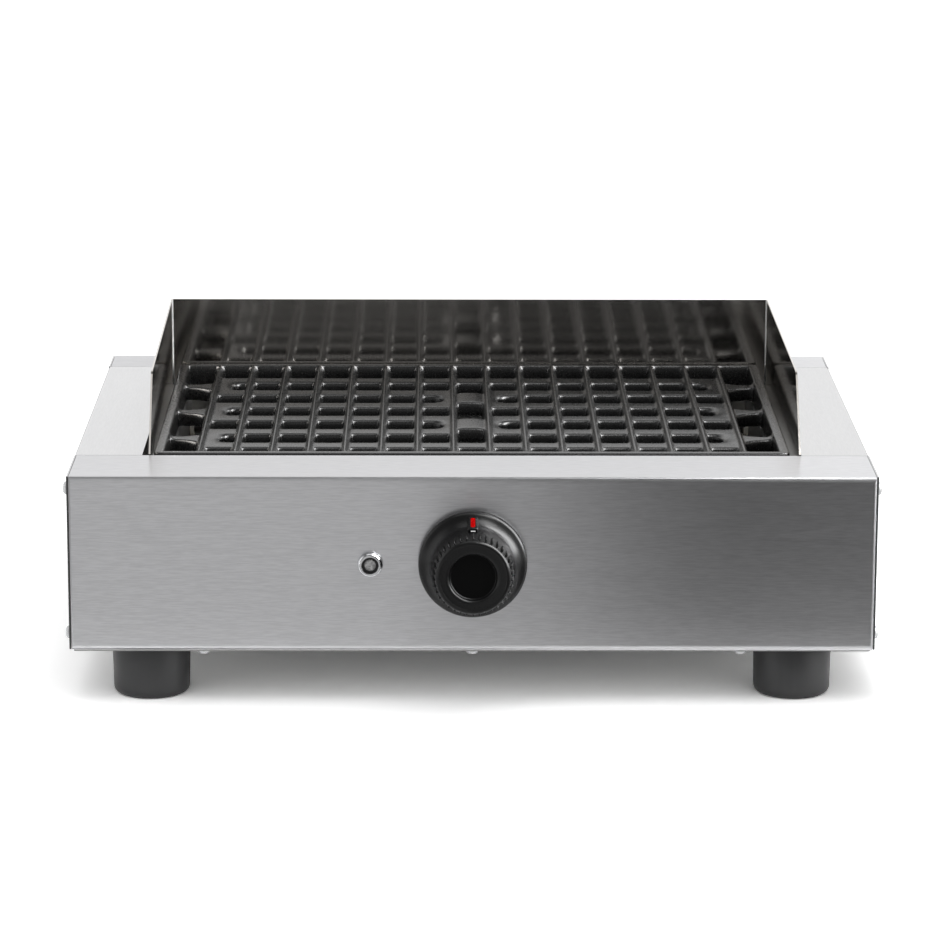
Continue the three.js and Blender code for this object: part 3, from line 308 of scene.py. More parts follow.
def grainVector(tree, sizes):
    # Object coordinates divided by the pattern's size in millimetres along x, y and z.
    where = addNode(tree, "ShaderNodeTexCoord")
    scale = tuple(1000 / size for size in sizes)
    return addNode(tree, "ShaderNodeMapping", {"Scale": scale}, {"Vector": where.outputs["Object"]})


def sheetMetal(name, hexValue, grain, brushed=None, roughness=0.3, spread=0.02, tint=0.03, bump=0.000001,
               stretch=0.75):
    # Rolled or brushed sheet: fine streaks vary its tone and gloss, and stretch reflections across the grain.
    material, tree = emptyMaterial(name)
    fine = addNode(tree, "ShaderNodeTexNoise", {"Scale": 1.0, "Detail": 2.0, "Roughness": 0.5},
                   {"Vector": grainVector(tree, grain).outputs[0]})
    broad = addNode(tree, "ShaderNodeTexNoise", {"Scale": 1.0, "Detail": 1.0, "Roughness": 0.5},
                    {"Vector": grainVector(tree, [size * broadGrain for size in grain]).outputs[0]})
    mixed = addNode(tree, "ShaderNodeMath", {"operation": "ADD"}, {0: fine.outputs[0], 1: broad.outputs[0]})
    shade = addNode(tree, "ShaderNodeMapRange",
                    {"From Min": 0.3, "From Max": 0.7, "To Min": 1 - tint, "To Max": 1 + tint},
                    {"Value": fine.outputs[0]})
    base = addNode(tree, "ShaderNodeMix",
                   {"data_type": "RGBA", "blend_type": "MULTIPLY", 0: 1.0, 6: colour(hexValue)},
                   {7: shade.outputs[0]})
    gloss = addNode(tree, "ShaderNodeMapRange",
                    {"From Min": 0.7, "From Max": 1.3,
                     "To Min": roughness - spread, "To Max": roughness + spread},
                    {"Value": mixed.outputs[0]})
    relief = addNode(tree, "ShaderNodeBump", {"Strength": 0.5, "Distance": bump}, {"Height": fine.outputs[0]})
    settings = {"Metallic": 1.0}
    links = {"Base Color": base.outputs[2], "Roughness": gloss.outputs[0], "Normal": relief.outputs[0]}
    if brushed:
        across = addNode(tree, "ShaderNodeCombineXYZ", {0: brushed[0], 1: brushed[1], 2: brushed[2]})
        settings["Anisotropic"] = stretch
        links["Tangent"] = across.outputs[0]
    surface = addNode(tree, "ShaderNodeBsdfPrincipled", settings, links)
    addNode(tree, "ShaderNodeOutputMaterial", {}, {"Surface": surface.outputs[0]})
    return material


def moulded(name, hexValue, speck, roughness=0.4, spread=0.05, tint=0.1, bump=0.00004, metallic=0.0,
            specular=0.5, patch=40):
    # Moulded plastic, ceramic, rubber or cast metal: an even colour with a fine speckle, a slight relief
    # and broad patches, whose size is counted in specks.
    material, tree = emptyMaterial(name)
    fine = addNode(tree, "ShaderNodeTexNoise", {"Scale": 1.0, "Detail": 4.0, "Roughness": 0.65},
                   {"Vector": grainVector(tree, (speck, speck, speck)).outputs[0]})
    wide = addNode(tree, "ShaderNodeTexNoise", {"Scale": 1.0, "Detail": 2.0},
                   {"Vector": grainVector(tree, [speck * patch] * 3).outputs[0]})
    shade = addNode(tree, "ShaderNodeMapRange",
                    {"From Min": 0.3, "From Max": 0.7, "To Min": 1 - tint, "To Max": 1 + tint},
                    {"Value": wide.outputs[0]})
    base = addNode(tree, "ShaderNodeMix",
                   {"data_type": "RGBA", "blend_type": "MULTIPLY", 0: 1.0, 6: colour(hexValue)},
                   {7: shade.outputs[0]})
    gloss = addNode(tree, "ShaderNodeMapRange",
                    {"From Min": 0.3, "From Max": 0.7,
                     "To Min": roughness - spread, "To Max": roughness + spread},
                    {"Value": fine.outputs[0]})
    relief = addNode(tree, "ShaderNodeBump", {"Strength": 0.7, "Distance": bump}, {"Height": fine.outputs[0]})
    surface = addNode(tree, "ShaderNodeBsdfPrincipled",
                      {"Metallic": metallic, "Specular IOR Level": specular},
                      {"Base Color": base.outputs[2], "Roughness": gloss.outputs[0],
                       "Normal": relief.outputs[0]})
    addNode(tree, "ShaderNodeOutputMaterial", {}, {"Surface": surface.outputs[0]})
    return material


# Grain sizes are about twice the real brush marks, which would be too fine to show.
finishes = {
    # Stainless sheet, ground from end to end: soft grey with short marks, and lights drawn out across them
    "brushedSteel": sheetMetal("brushedStainlessAcross", 0xDADADC, (9, 0.8, 0.8), brushed=(0, 1, 1),
                               spread=0.01, tint=0.07, bump=0.0000004),
    # The same sheet with its grain from front to back, a shade darker
    "sideSteel": sheetMetal("brushedStainlessAlong", 0xC6C6C7, (0.8, 9, 0.8), brushed=(1, 0, 1), tint=0.05,
                            bump=0.0000005),
    # Stainless sheet as rolled: a dull even grey, slightly clouded
    "plainSteel": sheetMetal("rolledStainless", 0xA8A8A7, (3, 3, 3), roughness=0.38, tint=0.05,
                             bump=0.000002),
    # Stainless sheet polished along its length: a dark mirror that blurs what it shows upwards and downwards
    "polishedSteel": sheetMetal("polishedStainless", 0xC8C4BF, (30, 0.9, 0.9), brushed=(0, 0, 1),
                                roughness=0.085, spread=0.015, bump=0.000001),
    # Stainless sheet where it was bent: rougher as the grain opens up, and painted paler as a highlight, so
    # the bend shows as a pale line
    "bendSteel": sheetMetal("brushedBend", 0xE0E0E0, (14, 0.8, 0.8), brushed=(0, 0, 1), roughness=0.3),
    # The body's sheet round a fold: its marks draw every light out up and down, into a white line
    "foldSteel": sheetMetal("brushedFold", 0xDADADC, (9, 0.8, 0.8), brushed=(0, 0, 1), roughness=0.45,
                            stretch=0.95),
    # Sheared end of the same sheet: rough, and painted a dark grey, partly the edge's own dullness and partly
    # the shade in the joint beside the fold
    "cutSteel": moulded("shearedEdge", 0x606060, 0.8, roughness=0.5, metallic=1.0, bump=0.000004),
    # Cast iron under enamel: nearly black, with a satin gloss over the sand's fine unevenness
    "castEnamel": moulded("enamelledCastIron", 0x090909, 1.2, roughness=0.28, spread=0.05, bump=0.00004,
                          specular=0.84),
    # Nickel alloy tube darkened by heat: brown grey and dull
    "sheath": moulded("oxidisedSheath", 0x45413E, 0.8, roughness=0.5, bump=0.00002, metallic=0.6, patch=12),
    # Steatite: a chalky off-white without gloss
    "ceramic": moulded("steatite", 0xE6E1D6, 0.5, roughness=0.6),
    # Heat-proof moulded plastic: deep black with smooth, fairly sharp highlights
    "blackPlastic": moulded("blackThermoset", 0x0B0B0C, 0.5, roughness=0.29, spread=0.03, bump=0.000004,
                            specular=0.38),
    # The same plastic left rough in the knob's dish, and painted blacker with less shine, as the shade in the
    # recess
    "dishPlastic": moulded("blackThermosetMatt", 0x060606, 0.5, roughness=0.5, bump=0.00001, specular=0.08),
    # Coloured insert: saturated red with next to no sheen
    "redPlastic": moulded("redInsert", 0xCC0000, 0.5, roughness=0.5, bump=0.00001, specular=0.02),
    # Small white mark below the knob's pointer: flat white
    "whitePrint": moulded("whitePadPrint", 0xF2F2F2, 0.5, roughness=0.5, bump=0.00001),
    # Zinc-plated steel screws: a pale metal with a soft shine
    "zinc": moulded("zincPlate", 0xE6E7E8, 0.8, roughness=0.25, metallic=0.3, tint=0.04, bump=0.000004),
    # Phenolic moulding of the regulator: plain mid grey
    "greyPlastic": moulded("greyPhenolic", 0x8D8F90, 0.6, roughness=0.55),
    # Chromium plate: sharp, bright and dark by turns
    "chrome": sheetMetal("chromePlate", 0xDDDEE0, (2, 2, 2), roughness=0.08, spread=0.02, tint=0.01,
                         bump=0.0000005),
    # Unlit lamp lens: grey, mottled by the facets moulded inside it
    "lens": moulded("lampLens", 0x9A9A9A, 0.6, roughness=0.25, spread=0.05, tint=0.45, bump=0.00002, patch=2),
    # Turned brass: warm yellow with fine rings of tool marks
    "brass": sheetMetal("turnedBrass", 0xC9AE6B, (0.6, 0.6, 0.6), roughness=0.3, bump=0.000002),
    # Nitrile rubber feet: charcoal with a broad dull sheen
    "footPlastic": moulded("blackRubber", 0x2B2B2C, 0.6, roughness=0.42, bump=0.00003),
    # Woven glass sleeve on the leads: matt off-white with a coarse weave
    "sleeve": moulded("wovenGlassSleeve", 0xD8D4CB, 0.9, roughness=0.8, bump=0.0001),
}
slotFinishes = {
    "brushed_steel": "brushedSteel", "plain_steel": "plainSteel", "polished_steel": "polishedSteel",
    "cast_enamel": "castEnamel", "element_sheath": "sheath", "ceramic": "ceramic",
    "black_plastic": "blackPlastic", "red_plastic": "redPlastic", "zinc": "zinc",
    "regulator_plastic": "greyPlastic", "lamp_chrome": "chrome", "lamp_lens": "lens", "brass": "brass",
    "foot_plastic": "footPlastic", "lead_sleeve": "sleeve",
}
slotOf = {part["node"]: part["material_slot"] for part in frame["record"]["subparts"]}
print("finishes mixed:", len(finishes))


# Shared modelling steps
welding = {"gap": 0.002, "turnedGap": 0.001, "flatAngle": 0.5}


def finishPiece(name, bm, finish, like, replaced=True, sharpAngle=33):
    # like is the CAD node whose body the piece takes, and which it replaces.
    mesh = bpy.data.meshes.new(name)
    bm.to_mesh(mesh)
    bm.free()
    for polygon in mesh.polygons:
        polygon.use_smooth = True
    mesh.set_sharp_from_angle(angle=math.radians(sharpAngle))
    mesh.materials.append(finishes[finish])
    piece = bpy.data.objects.new(name, mesh)
    scene.collection.objects.link(piece)
    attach(piece, nodes[like]["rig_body"])
    if replaced:
        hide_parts(like)
    return piece


def weldedCopy(node):
    bm = bmesh.new()
    bm.from_mesh(nodes[node].data)
    bmesh.ops.remove_doubles(bm, verts=bm.verts, dist=welding["gap"] / 1000)
    bmesh.ops.dissolve_limit(bm, angle_limit=math.radians(welding["flatAngle"]), verts=bm.verts,
                             edges=bm.edges)
    return bm


def smoothSheet(name, node, finish, bm=None):
    # A sheet part with its bends shaded round, and its flat faces kept flat.
    piece = finishPiece(name, bm or weldedCopy(node), finish, node)
    weighted = piece.modifiers.new("flatFaces", "WEIGHTED_NORMAL")
    weighted.keep_sharp = True
    weighted.weight = 100
    return piece


def turned(bm, profile, steps):
    # Spins a profile of (radius, level) points round the z axis, with level along it.
    verts = [bm.verts.new((radius / 1000, 0, level / 1000)) for radius, level in profile]
    edges = [bm.edges.new(pair) for pair in zip(verts, verts[1:])]
    bmesh.ops.spin(bm, geom=verts + edges, cent=(0, 0, 0), axis=(0, 0, 1), dvec=(0, 0, 0), angle=math.tau,
                   steps=steps, use_merge=True, use_duplicate=False)
    bmesh.ops.remove_doubles(bm, verts=bm.verts, dist=welding["turnedGap"] / 1000)
    bmesh.ops.recalc_face_normals(bm, faces=bm.faces)


def roundEdges(bm, edges, radius, segments, clamped=True):
    return bmesh.ops.bevel(bm, geom=edges, offset=radius / 1000, offset_type="OFFSET", segments=segments,
                           profile=0.5, affect="EDGES", clamp_overlap=clamped, material=-1)


def facesInside(bm, radius):
    # The indices of the faces that lie within a radius of the z axis.
    return [index for index, face in enumerate(bm.faces)
            if math.hypot(*face.calc_center_median().xy) < radius / 1000]


def refinish(piece, indices, finish):
    piece.data.materials.append(finishes[finish])
    for index in indices:
        piece.data.polygons[index].material_index = 1


def unique(items):
    # Each item once, in the order in which it comes.
    return list(dict.fromkeys(items))


def roundedBlock(bm, size, edge, segments, matrix):
    # A block of the given millimetres with rounded edges, set in place by a matrix in metres.
    made = bmesh.ops.create_cube(bm, size=0.001)
    bmesh.ops.scale(bm, vec=size, verts=made["verts"])
    edges = unique(link for vert in made["verts"] for link in vert.link_edges)
    rounded = roundEdges(bm, edges, edge, segments)
    verts = unique(vert for face in rounded["faces"] for vert in face.verts)
    bmesh.ops.transform(bm, matrix=matrix, verts=verts)
    return verts


for name, part in nodes.items():
    part.data.materials.clear()
    part.data.materials.append(finishes[slotFinishes[slotOf[name]]])

# Body shells. The end panels' upright outer folds are rounded, and the side walls' ends lie back from
# them, so that each fold shows as a pale line beside a dark joint. The walls' ends are painted dark grey,
# partly as the joint's shade.
shell = {
    "foldRadius": 1.8,
    "foldSegments": 4,
    "foldLength": 50.0,      # shorter edges than this are no fold
    "setBack": 1.8,
    "near": 0.02,            # how close to a limit of the panel an edge or a point lies on it
    "lean": 0.1,             # how much a normal turns away from both axes on a bend
    "endFacing": 0.9,        # the same for a sheared end, towards the front or the back
}


def brightenBends(piece, finish):
    # Gives a sheet's upright bends a finish of their own: on the body a rougher one, on the windshield a
    # paler one, which is a painted highlight.
    piece.data.materials.append(finishes[finish])
    for polygon in piece.data.polygons:
        if min(abs(polygon.normal.x), abs(polygon.normal.y)) > shell["lean"]:
            polygon.material_index = 1


def makeEndShell(name, node):
    low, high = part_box(node)
    bm = weldedCopy(node)
    face = low.y if node.startswith("front") else high.y
    near = shell["near"] / 1000
    folds = [edge for edge in bm.edges if edge.calc_length() > shell["foldLength"] / 1000
             and all(abs(vert.co.y - face) < near and high.x - abs(vert.co.x) < near for vert in edge.verts)]
    roundEdges(bm, folds, shell["foldRadius"], shell["foldSegments"], clamped=False)
    brightenBends(smoothSheet(name, node, "brushedSteel", bm), "foldSteel")


def makeSideShell(name, node):
    low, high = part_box(node)
    bm = weldedCopy(node)
    near, setBack = shell["near"] / 1000, shell["setBack"] / 1000
    for vert in bm.verts:
        if vert.co.y - low.y < near:
            vert.co.y += setBack
        elif high.y - vert.co.y < near:
            vert.co.y -= setBack
    piece = smoothSheet(name, node, "sideSteel", bm)
    # The ends facing front and back get a dark grey: partly the sheared edge's own, partly painted shade of
    # the joint.
    piece.data.materials.append(finishes["cutSteel"])
    for polygon in piece.data.polygons:
        if abs(polygon.normal.y) > shell["endFacing"]:
            polygon.material_index = 1


makeEndShell("frontShell", "front_panel")
makeEndShell("rearShell", "rear_panel")
makeSideShell("leftShell", "left_side_panel")
makeSideShell("rightShell", "right_side_panel")
for name, node in (("wellFrame", "well"), ("sumpTray", "sump"), ("sumpEndLeft", "sump_end_left"),
                   ("sumpEndRight", "sump_end_right"), ("dripPan", "water_pan")):
    smoothSheet(name, node, "plainSteel")

# The windshield's side wings stand a little open: how far each end moves, towards the right
wings = {"leftFront": 1.5, "leftRear": -2.4, "rightFront": 0.0, "rightRear": 0.9}


def makeWindshield():
    low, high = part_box("windshield")
    bm = weldedCopy("windshield")
    for vert in bm.verts:
        share = (vert.co.y - low.y) / (high.y - low.y)
        side = "left" if vert.co.x < 0 else "right"
        vert.co.x += (wings[side + "Front"] * (1 - share) + wings[side + "Rear"] * share) / 1000
    # The windshield's bends get the paler finish: a painted highlight along each bend.
    brightenBends(smoothSheet("windshieldSheet", "windshield", "polishedSteel", bm), "bendSteel")


makeWindshield()
print("sheet parts smoothed")

# Heating tube: one tube bent to and fro, seen from above
heating = {
    "radius": 4.5,
    "sides": 20,
    "legCount": 8,
    "endBend": 12.0,
    "endReach": 59.5,        # from the tube's end to its outermost leg
    "rearInset": 13.0,       # from the straight ends' line to the rear bends
    "turnSteps": 16,         # steps of half a turn
    "fewestSteps": 4,
}


def makeHeatingTube():
    low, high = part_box("heating_element")
    radius, bend = heating["radius"] / 1000, heating["endBend"] / 1000
    pivotLine, level = high.y - radius, (low.z + high.z) / 2
    outerLeg = high.x - heating["endReach"] / 1000
    turnRadius = outerLeg / (heating["legCount"] - 1)
    frontLine, rearLine = low.y + radius, pivotLine - heating["rearInset"] / 1000
    bm = bmesh.new()
    start = Matrix.Translation((low.x, pivotLine, level)) @ Matrix.Rotation(math.radians(90), 4, "Y")
    bmesh.ops.create_circle(bm, segments=heating["sides"], radius=radius, cap_ends=False, matrix=start)
    ring = bm.edges[:]
    ends = [ring]

    def edgesOf(geometry):
        return [item for item in geometry if isinstance(item, bmesh.types.BMEdge)]

    def straight(ring, shift):
        drawn = bmesh.ops.extrude_edge_only(bm, edges=ring)["geom"]
        verts = [item for item in drawn if isinstance(item, bmesh.types.BMVert)]
        bmesh.ops.translate(bm, vec=shift, verts=verts)
        return [edge for edge in edgesOf(drawn) if len(edge.link_faces) == 1]

    def turn(ring, centre, degrees):
        steps = max(heating["fewestSteps"], round(heating["turnSteps"] * abs(degrees) / 180))
        spun = bmesh.ops.spin(bm, geom=ring, cent=(*centre, level), axis=(0, 0, 1), dvec=(0, 0, 0),
                              angle=math.radians(degrees), steps=steps, use_duplicate=False)
        return edgesOf(spun["geom_last"])

    ring = straight(ring, (-outerLeg - bend - low.x, 0, 0))
    ring = turn(ring, (-outerLeg - bend, pivotLine - bend), -90)
    y = pivotLine - bend
    for leg in range(heating["legCount"] - 1):
        atFront = leg % 2 == 0
        centre = frontLine + turnRadius if atFront else rearLine - turnRadius
        ring = straight(ring, (0, centre - y, 0))
        ring = turn(ring, (-outerLeg + turnRadius * (2 * leg + 1), centre), 180 if atFront else -180)
        y = centre
    ring = straight(ring, (0, pivotLine - bend - y, 0))
    ring = turn(ring, (outerLeg + bend, pivotLine - bend), -90)
    ends.append(straight(ring, (high.x - outerLeg - bend, 0, 0)))
    for end in ends:
        bmesh.ops.edgeloop_fill(bm, edges=end)
    bmesh.ops.recalc_face_normals(bm, faces=bm.faces)
    finishPiece("heatingTube", bm, "sheath", "heating_element", sharpAngle=50)


makeHeatingTube()
print("heating tube bent")

# Cast grate: ribs run from front to back, bars lie lower across them
grate = {
    "halfWidth": 217.0,
    "front": 71.3,
    "rear": 369.4,
    "rim": 7.0,
    "corner": 6.0,
    "ribCount": 16,
    "outerColumn": 23.25,
    "webLines": (7.0, 14.0),  # how far inside the rim two lines cross the outer column
    "ribProfile": ((0.8, -0.15), (1.6, -2.8), (2.9, -3.8)),  # half width and height down a rib's side
    "rowCount": 7,
    "webRows": (1, 3, 5),    # rows whose outer openings a web closes
    "plateRows": (2, 4),     # rows with a plate in the middle and round ends beside it
    "rowLine": 0.32,         # share of an opening's length from its middle to its next line
    "barWidth": 16.3,
    "barTop": -3.8,
    "plateTop": -2.7,
    "plateHalf": 16.75,
    "plateEdge": 2.2,        # from a plate's side to the line that holds its roundness
    "plateSkirt": 3.0,
    "underside": -13.5,
    "foot": -16.0,
    "draft": 1.1,
    "edge": 1.0,             # how far in the loops lie that hold an edge's roundness
    "wallEdge": 0.13,        # the same down a wall, as a share of its height
    "barEdge": 2.2,
    "cellInset": 2.6,        # from a rib's foot to the first line of a cell
    "roundHalf": 11.8,       # half length of a round-ended opening
    "roundShare": 0.55,
    "roundAngle": 48.0,
    "middleTip": 2.6,
    "outerTip": 7.4,
    "webRim": 4.5,
    "webRib": 15.0,
    "webCurve": 0.6,
    "rimLines": 3,           # grid lines on the rim, on each side
    "cellLines": 3,          # grid lines inside a cell
}


def grateLines():
    # Grid lines across and along the grate, each with what it belongs to.
    inner = grate["halfWidth"] - grate["rim"]
    outerRib = inner - grate["outerColumn"]
    pitch = 2 * outerRib / (grate["ribCount"] - 1)
    foot = grate["ribProfile"][-1][0]
    side = [(grate["halfWidth"], "rim"), (grate["halfWidth"] - grate["edge"], "rim"),
            (inner + grate["edge"], "rim"), (inner, "rimEdge"), (inner - grate["edge"], "web"),
            *((inner - line, "web") for line in grate["webLines"]), (outerRib + foot + grate["edge"], "web")]
    across = [(-x, kind, 0) for x, kind in side]
    for rib in range(grate["ribCount"]):
        centre = -outerRib + rib * pitch
        across += [(centre - half, "rib", rib) for half, _ in reversed(grate["ribProfile"])]
        across += [(centre + half, "rib", rib) for half, _ in grate["ribProfile"]]
        if rib < grate["ribCount"] - 1:
            reach = foot + grate["cellInset"]
            across += [(centre + offset, "cell", rib) for offset in (reach, pitch / 2, pitch - reach)]
    across += [(x, kind, 0) for x, kind in reversed(side)]

    length = grate["rear"] - grate["front"] - 2 * grate["rim"]
    hole = (length - grate["barWidth"] * (grate["rowCount"] - 1)) / grate["rowCount"]
    rowPitch = hole + grate["barWidth"]
    start = grate["front"] + grate["rim"]
    along = [(grate["front"], "rim", 0), (grate["front"] + grate["edge"], "rim", 0),
             (start - grate["edge"], "rim", 0)]
    line = hole * grate["rowLine"]
    for row in range(grate["rowCount"]):
        centre = start + hole / 2 + row * rowPitch
        along += [(centre + offset, "row", (row, slot))
                  for slot, offset in ((-2, -hole / 2), (-1, -line), (0, 0), (1, line), (2, hole / 2))]
        if row < grate["rowCount"] - 1:
            along += [(centre + hole / 2 + grate["barEdge"], "bar", (row, 3)),
                      (centre + rowPitch - hole / 2 - grate["barEdge"], "bar", (row + 1, -3))]
    end = grate["rear"] - grate["rim"]
    along += [(end + grate["edge"], "rim", 0), (grate["rear"] - grate["edge"], "rim", 0),
              (grate["rear"], "rim", 0)]
    # Lines just inside the rim, where the ribs reach their own height.
    first = grate["rimLines"] + 1
    along.insert(first, (start + grate["edge"], "inside", 0))
    along.insert(len(along) - first, (end - grate["edge"], "inside", 0))
    return across, along, pitch, rowPitch, hole, start


def makeGrate():
    across, along, pitch, rowPitch, hole, start = grateLines()
    columns, lines = len(across), len(along)
    inner = grate["halfWidth"] - grate["rim"]
    foot = grate["ribProfile"][-1][0]
    ribHeights = {round(half, 3): height for half, height in grate["ribProfile"]}
    lastColumn, middleColumn = grate["ribCount"] - 2, (grate["ribCount"] - 2) // 2
    rimLines, cellLines = grate["rimLines"], grate["cellLines"]
    lastStage = cellLines + 1
    ribLines = 2 * len(grate["ribProfile"])
    sideLines = sum(kind in ("rim", "rimEdge", "web") for _, kind, _ in across) // 2
    rimEdges = (rimLines, lines - 1 - rimLines)  # the rim's inner edge at the front and the back
    outerFeet = (sideLines, columns - 1 - sideLines)  # the outermost ribs' outer feet

    def rowCentre(row):
        return start + hole / 2 + row * rowPitch

    def columnOf(i):
        # The column of cells that a line bounds or crosses, and the line's place in it from 0 to lastStage.
        step, offset = divmod(i - (sideLines + ribLines - 1), ribLines + cellLines)
        return (step, offset) if 0 <= step <= lastColumn and offset <= lastStage else (None, None)

    def roundEnd(column, row):
        # Which way an opening's round end points, and how far the end stays from the rib.
        if column in (middleColumn - 1, middleColumn + 1) and row in grate["plateRows"]:
            return (1 if column < middleColumn else -1), grate["middleTip"]
        if column in (0, lastColumn) and row in grate["webRows"]:
            return (-1 if column == 0 else 1), grate["outerTip"]
        return None, None

    def webHalf(x):
        share = min(1.0, (inner - abs(x)) / grate["outerColumn"])
        bend = 2 * grate["webCurve"]
        t = (bend - math.sqrt(bend * bend - 4 * (bend - 1) * share)) / (2 * (bend - 1))
        return grate["webRim"] * (1 - t * t) + grate["webRib"] * t * t

    def cornered(x, y):
        # Rounds the rim's corners in plan.
        corner = grate["corner"]
        side, front, rear = grate["halfWidth"] - corner, grate["front"] + corner, grate["rear"] - corner
        u = max(0.0, abs(x) - side) / corner
        v = max(front - y, y - rear, 0.0) / corner
        if u > 0 and v > 0:
            x = math.copysign(side + corner * u * math.sqrt(1 - v * v / 2), x)
            reach = corner * v * math.sqrt(1 - u * u / 2)
            y = front - reach if y < front else rear + reach
        return x, y

    def topPoint(i, j):
        x, kind, rib = across[i]
        y, zone, spot = along[j]
        onRim = kind in ("rim", "rimEdge") or zone == "rim" or j in rimEdges
        z = 0.0 if onRim else grate["barTop"]
        if kind == "rib" and not onRim:
            centre = -(inner - grate["outerColumn"]) + rib * pitch
            z = ribHeights[round(abs(x - centre), 3)]
        if zone in ("row", "bar"):
            row, slot = spot
            share = {0: 0, 1: 2 * grate["rowLine"], 2: 1}.get(abs(slot))
            onWeb = kind in ("rimEdge", "web") or i in outerFeet
            if onWeb and row in grate["webRows"] and share is not None:
                y = rowCentre(row) + math.copysign(share, slot) * webHalf(x)
            column, stage = columnOf(i)
            if column == middleColumn and row in grate["plateRows"]:
                half = grate["plateHalf"]
                reach = (0, half - grate["plateEdge"], half, half + grate["plateSkirt"])[abs(slot)]
                y = rowCentre(row) + math.copysign(reach, slot)
                if abs(slot) <= 2 and 0 < stage < lastStage:
                    z = grate["plateTop"]
            side, tipInset = roundEnd(column, row) if column is not None else (None, None)
            if side and share is not None:
                middle = (across[i - stage][0] + across[i - stage + lastStage][0]) / 2
                flat = middle - side * (pitch / 2 - foot)
                tip = middle + side * (pitch / 2 - foot - tipInset)
                reach = abs(tip - flat) * grate["roundShare"]
                shoulder = tip - side * reach
                # Counted from the opening's flat end: cellLines at its round end, lastStage at the far rib.
                order = stage if side > 0 else lastStage - stage
                if abs(slot) == 2 and order <= cellLines:
                    y = rowCentre(row) + math.copysign(grate["roundHalf"], slot)
                    x = flat + (shoulder - flat) * order / cellLines
                elif order == cellLines:
                    angle = math.radians(grate["roundAngle"]) * slot
                    x = shoulder + side * reach * math.cos(angle)
                    y = rowCentre(row) + grate["roundHalf"] * math.sin(angle)
        x, y = cornered(x, y)
        return x, y, z

    def isOpen(i, j):
        # Whether the grid face from lines i and j to the next ones is an opening.
        if not (rimLines <= i < columns - 1 - rimLines and rimLines <= j < lines - 1 - rimLines):
            return False  # on the rim or outside the grid
        zones = (along[j][1], along[j + 1][1])
        inRow = "bar" not in zones
        row = along[j + zones.index("row")][2][0] if "row" in zones else 0
        if not sideLines <= i < columns - 1 - sideLines:
            return not (inRow and row in grate["webRows"])
        column, stage = columnOf(i)
        if column is None or stage == lastStage:
            return False
        if column == middleColumn:
            if inRow:
                return row not in grate["plateRows"]
            spotRow, slot = along[j][2]
            bar = spotRow - 1 if slot == -3 else spotRow
            return 0 < bar < grate["rowCount"] - 2
        side, _ = roundEnd(column, row)
        if inRow and side:
            return stage < cellLines if side > 0 else stage > 0
        return inRow

    bm = bmesh.new()
    bmesh.ops.create_grid(bm, x_segments=columns - 1, y_segments=lines - 1, size=1.0)
    lineX = bm.verts.layers.int.new("lineX")
    lineY = bm.verts.layers.int.new("lineY")
    for vert in bm.verts:
        vert[lineX] = round((vert.co.x + 1) / 2 * (columns - 1))
        vert[lineY] = round((vert.co.y + 1) / 2 * (lines - 1))
        vert.co = place(*topPoint(vert[lineX], vert[lineY]))
    doomed = [face for face in bm.faces
              if isOpen(min(vert[lineX] for vert in face.verts), min(vert[lineY] for vert in face.verts))]
    bmesh.ops.delete(bm, geom=doomed, context="FACES")

    # The underside is the top pushed down, with openings that narrow towards it as a casting's do.
    made = bmesh.ops.extrude_face_region(bm, geom=bm.faces[:], use_keep_orig=True)
    lower = dict.fromkeys(item for item in made["geom"] if isinstance(item, bmesh.types.BMVert))
    walls = {}
    for vert in lower:
        i, j = vert[lineX], vert[lineY]
        onRim = across[i][1] in ("rim", "rimEdge") or along[j][1] == "rim" or j in rimEdges
        leanX = leanY = 0
        for stepX in (-1, 0):
            for stepY in (-1, 0):
                if isOpen(i + stepX, j + stepY):
                    leanX += 2 * stepX + 1
                    leanY += 2 * stepY + 1
        vert.co.x += grate["draft"] / 1000 * ((leanX > 0) - (leanX < 0))
        vert.co.y += grate["draft"] / 1000 * ((leanY > 0) - (leanY < 0))
        vert.co.z = place(0, 0, grate["foot"] if onRim else grate["underside"]).z
        for edge in vert.link_edges:
            if edge.other_vert(vert) not in lower:
                walls[edge] = (edge.other_vert(vert), vert)
    ends = {}
    for top, bottom in walls.values():
        ends[top], ends[bottom] = bottom, top
    cut = bmesh.ops.subdivide_edges(bm, edges=list(walls), cuts=2, use_grid_fill=True)
    for item in cut["geom_inner"]:
        if isinstance(item, bmesh.types.BMVert):
            for edge in item.link_edges:
                end = edge.other_vert(item)
                if end in ends:
                    item.co = end.co.lerp(ends[end].co, grate["wallEdge"])
    bmesh.ops.recalc_face_normals(bm, faces=bm.faces)
    piece = finishPiece("castGrate", bm, "castEnamel", "grate", sharpAngle=180)
    smooth = piece.modifiers.new("castSurface", "SUBSURF")
    smooth.levels = smooth.render_levels = 1
    print("grate cast:", len(piece.data.polygons), "faces before smoothing")


makeGrate()

